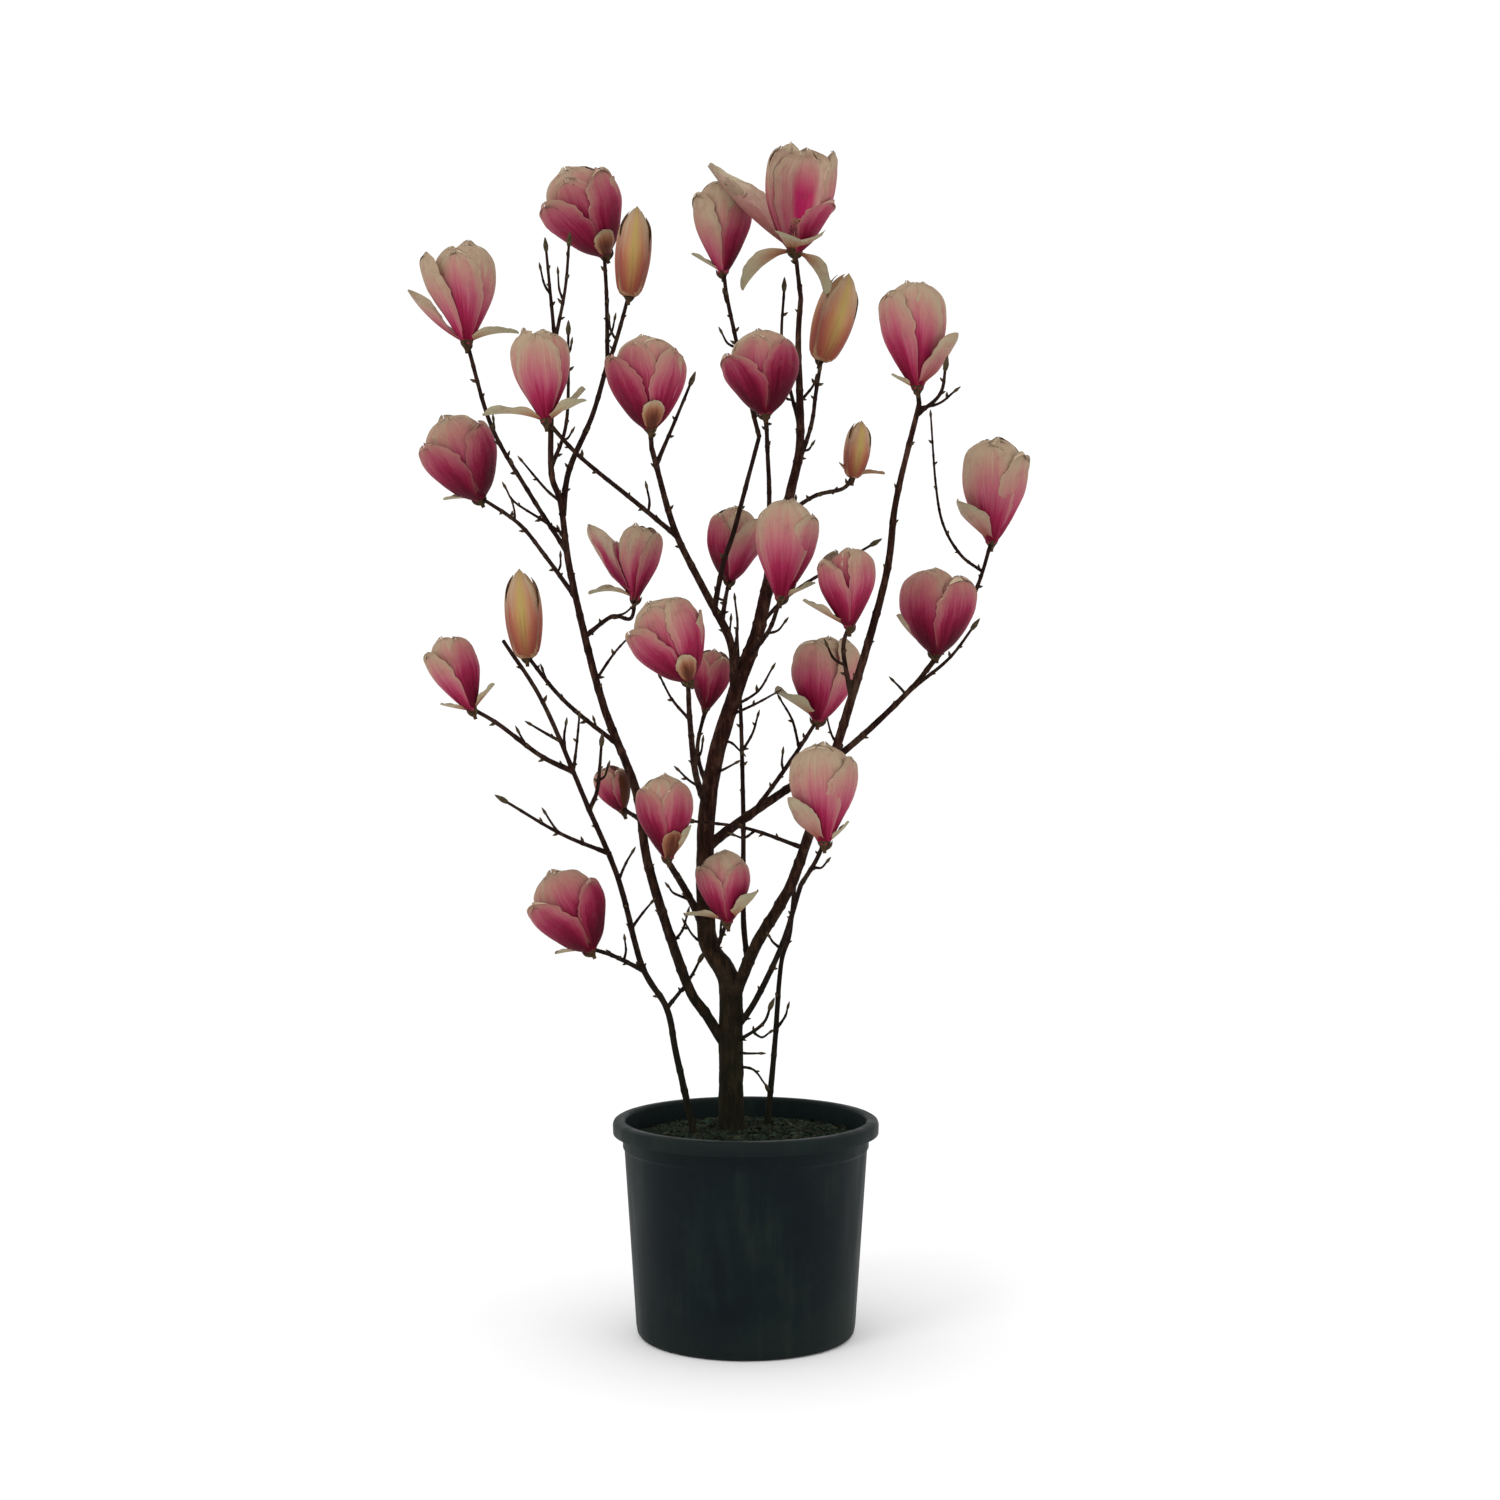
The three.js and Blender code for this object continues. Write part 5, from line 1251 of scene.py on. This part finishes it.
# The blooms
def head_of(shoot):
    """The sizes of a shoot's bloom or bud, if it bears one."""
    return shoot.get("bloom") or shoot.get("bud")


def seat(points, shoot):
    """Turns what is made upright to the lean and nod of a shoot's head, and sets it on its tip."""
    head, tip = head_of(shoot), shoot["tip"]
    size = (tip[2] - EYE[1]) / -EYE[1]
    turn = about(1, np.radians(head["lean"])) @ about(0, np.radians(-head["nod"]))
    return (size * (points - [0, 0, CALYX_SINK])) @ turn.T + stand(tip)


def blade(along, widest, foot, pointed):
    """A tepal's width along its length: narrow at its foot, broadest past its middle, and tapering to
    its tip, which is round where pointed is 0.5 and sharp where it is 1."""
    above = np.clip((along - widest) / (1 - widest), 0, 1)
    rising = foot + (1 - foot) * ease(0, 1, along / widest) ** 0.8
    return np.where(along < widest, rising, np.maximum((1 - above**2.2) ** pointed, 0.03))


def sheet_sides(middle, thickness):
    """The outer and the inner face of a thin blade, from the grid of points through its middle."""
    normal = np.cross(np.gradient(middle, axis=1), np.gradient(middle, axis=0))
    normal /= np.maximum(np.linalg.norm(normal, axis=-1, keepdims=True), 1e-9)
    half = thickness[..., None] / 2 * normal
    return middle + half, middle - half


def layered(*values):
    """Numbers for every point of a grid, side by side."""
    return np.stack(np.broadcast_arrays(*values), axis=-1)


class Bloom:
    """The tepals of one bloom or bud in one mesh, each face with its own place on the mesh's map."""

    # The tepals' grid: shares of their length, closer towards the tip, and of half their width
    along = 1 - (1 - np.linspace(0, 1, TEPAL_ROWS)[:, None]) ** 1.5
    across = np.linspace(-1, 1, TEPAL_COLUMNS)[None, :]

    def __init__(self, shoot, index):
        self.shoot = shoot
        self.head = head_of(shoot)
        self.pale = self.head.get("pale", 0.5)
        self.pile = Pile()
        self.draw = seeded(SEEDS["blooms"] + index)
        self.tepals = TEPALS[shoot["name"]] if "bloom" in shoot else BUD_TEPALS
        self.loose = shoot.get("loose", [])
        cells = 2 * (len(self.tepals) + CORE["count"] + len(self.loose) + 1)
        self.columns = int(np.ceil(np.sqrt(2 * cells)))
        self.rows = int(np.ceil(cells / self.columns))
        self.used = 0

    def add(self, middle, height, loose, paler=0.0):
        """A tepal: both its faces, and the marks that its colours go by."""
        v, u = np.broadcast_arrays(self.along, self.across)
        rim = np.maximum(0.6 * np.abs(u) ** 14, ease(0.88, 1, v))
        tepal_marks = layered(u, height, self.draw())
        thickness = TEPAL["thickness"] * (1 - u**6) * (1 - v**10)
        quads = grid_quads(*v.shape)
        outer, inner = sheet_sides(middle, thickness)
        for face, order, inside in ((outer, quads, 0.0), (inner, quads[:, ::-1], 1.0)):
            column, row = self.used % self.columns, self.used // self.columns
            uv = layered((column + 0.5 + 0.46 * u) / self.columns, (row + 0.03 + 0.94 * v) / self.rows)
            points = seat(face.reshape(-1, 3), self.shoot)
            kind_marks = layered(inside, loose, rim)
            bloom_marks = [self.pale + paler, 0, 0]
            self.pile.add(points, order, uv=uv, tepal=tepal_marks, kind=kind_marks, bloom=bloom_marks)
            self.used += 1

    def path(self, outline, tall, clear, leaning):
        """The way up a tepal's middle, as [radius, height] in millimetres: up an outline of [radius, share
        of the height], clear of it by so much, and leaning out to its tip."""
        heights = np.linspace(0, tall, 30)
        radius = np.interp(heights, outline[:, 1], outline[:, 0])
        radius = radius + clear * ease(0, 0.3 * tall, heights) + leaning * ease(0.25 * tall, tall, heights)
        return Line(np.stack([radius, heights * self.head["long"]], axis=-1))

    def wrap(self, path, shares, half, bend, direction, offset, slide=0.0):
        """Bends a blade of this half width round the bloom's axis, at these shares of its path."""
        radius, height = np.moveaxis(path.at(np.broadcast_to(shares, half.shape)), -1, 0)
        bend = np.maximum(bend * radius, TEPAL["least_bend"])
        angle = np.clip(self.across * half / bend, -1.5, 1.5)
        out = radius - bend * (1 - np.cos(angle)) + offset
        return swung(out, bend * np.sin(angle) + slide, height, np.radians(-direction))

    def frayed(self, half):
        """A blade's half width with uneven edges, each side in its own way."""
        edges = []
        for _ in range(2):
            slow = np.sin(CIRCLE * ((2.4 + 1.6 * self.draw()) * self.along + self.draw()))
            quick = np.sin(CIRCLE * ((6 + 3 * self.draw()) * self.along + self.draw()))
            edges.append(slow + 0.7 * quick)
        fray = (edges[0] * (1 - self.across) + edges[1] * (1 + self.across)) / 2
        return half * (1 + FRAY * fray * ease(0.3, 0.6, self.along))

    def scalloped(self):
        """How far along its path each point of a tepal is: its tip is notched and uneven."""
        slow = np.sin(CIRCLE * ((0.8 + 0.7 * self.draw()) * self.across + self.draw()))
        quick = np.sin(CIRCLE * (2.1 * self.across + self.draw()))
        return self.along * (1 + SCALLOP * (0.6 * slow + 0.4 * quick - 1) * ease(0.55, 1, self.along))

    def unevenness(self, half, free):
        """How far a tepal's face lies out of true: its ruffled edges, its crumples and its midrib. Only a
        tepal that is free rolls its edges and its tip out."""
        v, u, draw = self.along, self.across, self.draw
        wide = self.head["wide"]
        wave = np.sin(CIRCLE * (1.2 + draw()) * v + CIRCLE * draw()) * np.abs(u) ** 2.5
        ruffles = UNEVEN["ruffle"] * wide * wave * ease(0.3, 0.8, v)
        rolled = UNEVEN["roll"] * wide * u**4 * ease(0.35, 0.9, v) * draw()
        flicked = UNEVEN["flick"] * wide * ease(0.78, 1, v) ** 2 * draw()
        midrib = UNEVEN["midrib"] * wide * np.exp(-((u / 0.16) ** 2)) * ease(0.1, 0.5, v)
        spots = layered(u * half, v * self.head["long"], 0.0)
        crumples = CRUMPLES["depth"] * ripples(spots, CRUMPLES["wavelength"], int(1e6 * draw()))
        return ruffles + free * (rolled + flicked) - midrib + crumples

    def add_tepal(self, outline, order, direction, tall, stands=0, broad=USUAL_BREADTH, paler=USUAL_PALER):
        """A broad tepal that follows the goblet's outline."""
        head, draw = self.head, self.draw
        wide, long = head["wide"], head["long"]
        clear = wide * (LAYERS["first"] - LAYERS["step"] * order)
        path = self.path(outline, tall + SCALLOP, clear, wide / 2 * stands)
        free = float(stands >= 0.05)
        pointed = 0.52 + 0.18 * draw() - 0.14 * free
        half = self.frayed(blade(self.along, 0.56 + 0.1 * draw(), 0.24, pointed) * wide * broad)
        slide = 0.05 * wide * (draw() - 0.5) * self.along**2
        uneven = self.unevenness(half, free)
        middle = self.wrap(path, self.scalloped(), half, 1.0, direction, uneven, slide)
        self.add(middle, middle[..., 2] / long, 0.0, paler)

    def add_goblet(self):
        """The goblet's tepals, a core that closes it, and its cream patch."""
        head = self.head
        cup = CLOSED_CUP + (OPEN_CUP - CLOSED_CUP) * head["open"] - SLIM_CUP * head["slim"]
        outline = spline(np.stack([cup * head["wide"] / 2 * CUP_SHARE, CUP_HEIGHTS], axis=-1), 12)
        for order, tepal in enumerate(self.tepals):
            self.add_tepal(outline, order, *tepal)
        if head["open"] < CORE["closed"]:
            shape = [CORE[key] for key in ("tall", "stands", "broad", "paler")]
            for i in range(CORE["count"]):
                direction = 360 / CORE["count"] * (i + 0.2 * self.draw()) - 40
                self.add_tepal(outline, len(self.tepals), direction, *shape)
        if "patch" in self.shoot:
            direction, tall, broad, cream = self.shoot["patch"]
            path = self.path(outline, tall, 0.045 * head["wide"], 0.02 * head["wide"])
            half = self.frayed(blade(self.along, 0.66, 0.5, 0.5) * head["wide"] * broad)
            middle = self.wrap(path, self.scalloped(), half, 0.8, direction, 0.0)
            self.add(middle, cream * self.along**3, 1.0)

    def add_spindle(self):
        """Tepals wrapped tight round one another into a pointed bud, their tips a little apart."""
        head = self.head
        outline = spline(BUD_OUTLINE * [head["wide"] / 2, 1], 12)
        for order, (direction, tall, stands) in enumerate(self.tepals):
            inner = stands <= 0
            path = self.path(outline, tall, -0.5 * order, head["wide"] * stands)
            half = blade(self.along, 0.46, 0.5, 1.2) * head["wide"] * (0.48 if inner else 0.52)
            rolled = 0.015 * head["wide"] * self.across**4 * self.along
            facing = direction + head["turn"] - BUD_TEPALS[0][0]
            middle = self.wrap(path, self.along, self.frayed(half), 1.0, facing, rolled)
            self.add(middle, middle[..., 2] / head["long"], float(inner))

    def add_loose(self):
        """Thin blades that leave the bloom's base low and bend up or over to their tips."""
        v, u, draw = self.along, self.across, self.draw
        for direction, droop, long, *broad in self.loose:
            leave = np.radians(max(TEPAL["leave"], droop - TEPAL["curl"]))
            bend = np.radians(droop) - leave
            width = broad[0] if broad else TEPAL["width"]
            half = self.frayed(0.5 * width * long * blade(v, 0.6, 0.3, 0.62))
            mean = leave + bend * v
            slope = leave + 2 * bend * v
            ruffle = 0.03 * long * np.sin(CIRCLE * (1.1 + draw()) * v + 5 * draw()) * u**3
            midrib = 0.02 * long * np.exp(-((u / 0.2) ** 2))
            raised = 3 * TEPAL["cupping"] * half * u**2 + ruffle - midrib
            twist = 0.35 * (draw() - 0.5) * v
            out = long * v * np.sin(mean) - raised * np.cos(slope)
            side = half * u * np.cos(twist)
            up = long * (v * np.cos(mean) + TEPAL["lift"]) + raised * np.sin(slope)
            up = up + half * u * np.sin(twist)
            hanging = max(ease(38, 66, droop), ease(95, 55, long))
            self.add(swung(out, side, up, np.radians(-direction)), v, float(hanging))


def add_heart(pile, shoot, index):
    """The stamens round the foot of a bloom's middle, and the curled pistils on the cone above them."""
    head = shoot["bloom"]
    rng = np.random.default_rng(SEEDS["hearts"] + index)
    foot = HEART["foot"] * head["long"]
    tall = HEART["tall"] * head["long"]
    core = HEART["core"] * head["wide"]
    cone = Line([[0, 0, foot], [0, 0, foot + tall * 0.5], [0, 0, foot + tall]])
    pile.add_tube(cone, even(1.5 * core, 0.5 * core), sides=10, step=3, mark=0.8, shoot=shoot)
    for i in range(HEART["count"]):
        turn = i * GOLDEN_ANGLE
        share = i / HEART["count"]
        out = np.array([np.cos(turn), np.sin(turn), 0])
        base = out * core * (1.5 - share) * 0.8 + [0, 0, foot + tall * share]
        if share < HEART["stamens"]:
            ends = [base, base + out * 3 + [0, 0, 5], base + out * 4 + [0, 0, 10 + 2 * rng.uniform()]]
        else:
            ends = [base, base + out * 3 + [0, 0, 2], base + out * 5, base + out * 5.5 - [0, 0, 2]]
        thread = Line(spline(ends, 3))
        pile.add_tube(thread, even(0.75, 0.375), sides=5, step=2, mark=share, shoot=shoot)


def add_foot(pile, shoot, index):
    """The downy swelling under a bloom or bud, with what is left of its bud scale."""
    swollen = 0.075 * head_of(shoot)["wide"] + 1.6

    def swelling(shares, turns):
        return STEM["tip"] + (swollen - STEM["tip"]) * ease(0.1, 0.75, shares) - 2.2 * ease(0.8, 1, shares)

    def scale(shares, turns):
        return 1.9 * np.sin(np.pi * (0.2 + 0.78 * shares)) * (0.65 + 0.35 * np.cos(2 * turns))

    line = Line([[0, 0, -10], [0, 0, -4], [0, 0, 2], [0, 0, 9]])
    pile.add_tube(line, swelling, sides=14, step=1.6, mark=0.1, shoot=shoot)
    rng = np.random.default_rng(SEEDS["feet"] + index)
    for _ in range(2):
        turn = rng.uniform(0, CIRCLE)
        out = np.array([np.cos(turn), np.sin(turn), 0])
        ends = [out * 1.5 - [0, 0, 6], out * swollen - [0, 0, 1], out * (swollen + 2.6) + [0, 0, 5]]
        pile.add_tube(Line(spline(ends, 4)), scale, sides=8, step=1.4, mark=0.6, shoot=shoot)


# Everything in its place
petals, bud_petals, bark = tepal_material(), bud_material(), bark_material()
make_pot(plastic_material())
make_soil(soil_material())

tree = Tree()
tree.grow_limbs()
tree.grow_shoots()

hearts = Pile()
for number, shoot in enumerate(SHOOTS):
    bloom = Bloom(shoot, number)
    if "bloom" in shoot:
        bloom.add_goblet()
        if shoot["bloom"]["open"] >= HEART["shows_from"]:
            add_heart(hearts, shoot, number)
    else:
        bloom.add_spindle()
    bloom.add_loose()
    add_foot(tree.scales, shoot, number)
    material = petals if "bloom" in shoot else bud_petals
    bloom.pile.piece("bloom_" + shoot["name"], material, "blossom", ["flowering_shoot_" + shoot["name"]])

flowering = ["flowering_shoot_" + shoot["name"] for shoot in SHOOTS]
bare = ["bare_shoot_" + shoot["name"] for shoot in BARE_SHOOTS]
tree.bark.piece("bark_limbs", bark, "bark", ["trunk"] + [spec["name"] for spec in BOUGHS])
tree.twigs.piece("twigs", bark, "twig_bark", flowering + bare)
tree.scales.piece("bud_scales", scale_material(), "twig_bark", flowering + bare)
hearts.piece("bloom_hearts", heart_material(), "blossom", flowering)

chips = chip_material()
for name, litter in LITTER.items():
    strew(chips, name, **litter)


# Floor, light and camera
def aim(thing, spot, towards):
    """Stands a lamp or the camera at a spot, in metres, and turns it this way."""
    thing.location = spot
    thing.rotation_euler = Vector(towards).to_track_quat("-Z", "Y").to_euler()


def make_stage():
    mesh = bpy.data.meshes.new("floor")
    corners = [(-1, -1), (1, -1), (1, 1), (-1, 1)]
    mesh.from_pydata([(FLOOR_REACH * x, FLOOR_REACH * y, 0) for x, y in corners], [], [(0, 1, 2, 3)])
    mesh.materials.append(Painter("floor", 0.9).finish(colour(250, 250, 250)))
    add_object("floor", mesh)
    world = bpy.data.worlds.new("studio")
    world.use_nodes = True
    world.node_tree.nodes["Background"].inputs["Color"].default_value = (1, 1, 1, 1)
    world.node_tree.nodes["Background"].inputs["Strength"].default_value = SKY_STRENGTH
    bpy.context.scene.world = world


def add_lamp(name, spot, size, power):
    data = bpy.data.lights.new(name, "AREA")
    data.shape = "DISK"
    data.size = size
    data.energy = power
    aim(add_object(name, data), spot, Vector(LAMPS_AIM) - Vector(spot))


def make_camera():
    data = bpy.data.cameras.new("camera")
    half = PICTURE_SIZE * PICTURE_MM / 2
    data.angle = 2 * np.arctan(half / np.linalg.norm(AIM - EYE))
    camera = add_object("camera", data)
    aim(camera, EYE * MM, AIM - EYE)
    bpy.context.scene.camera = camera


make_stage()
for name, lamp in LAMPS.items():
    add_lamp(name, **lamp)
make_camera()
bpy.context.scene.view_settings.view_transform = "Standard"
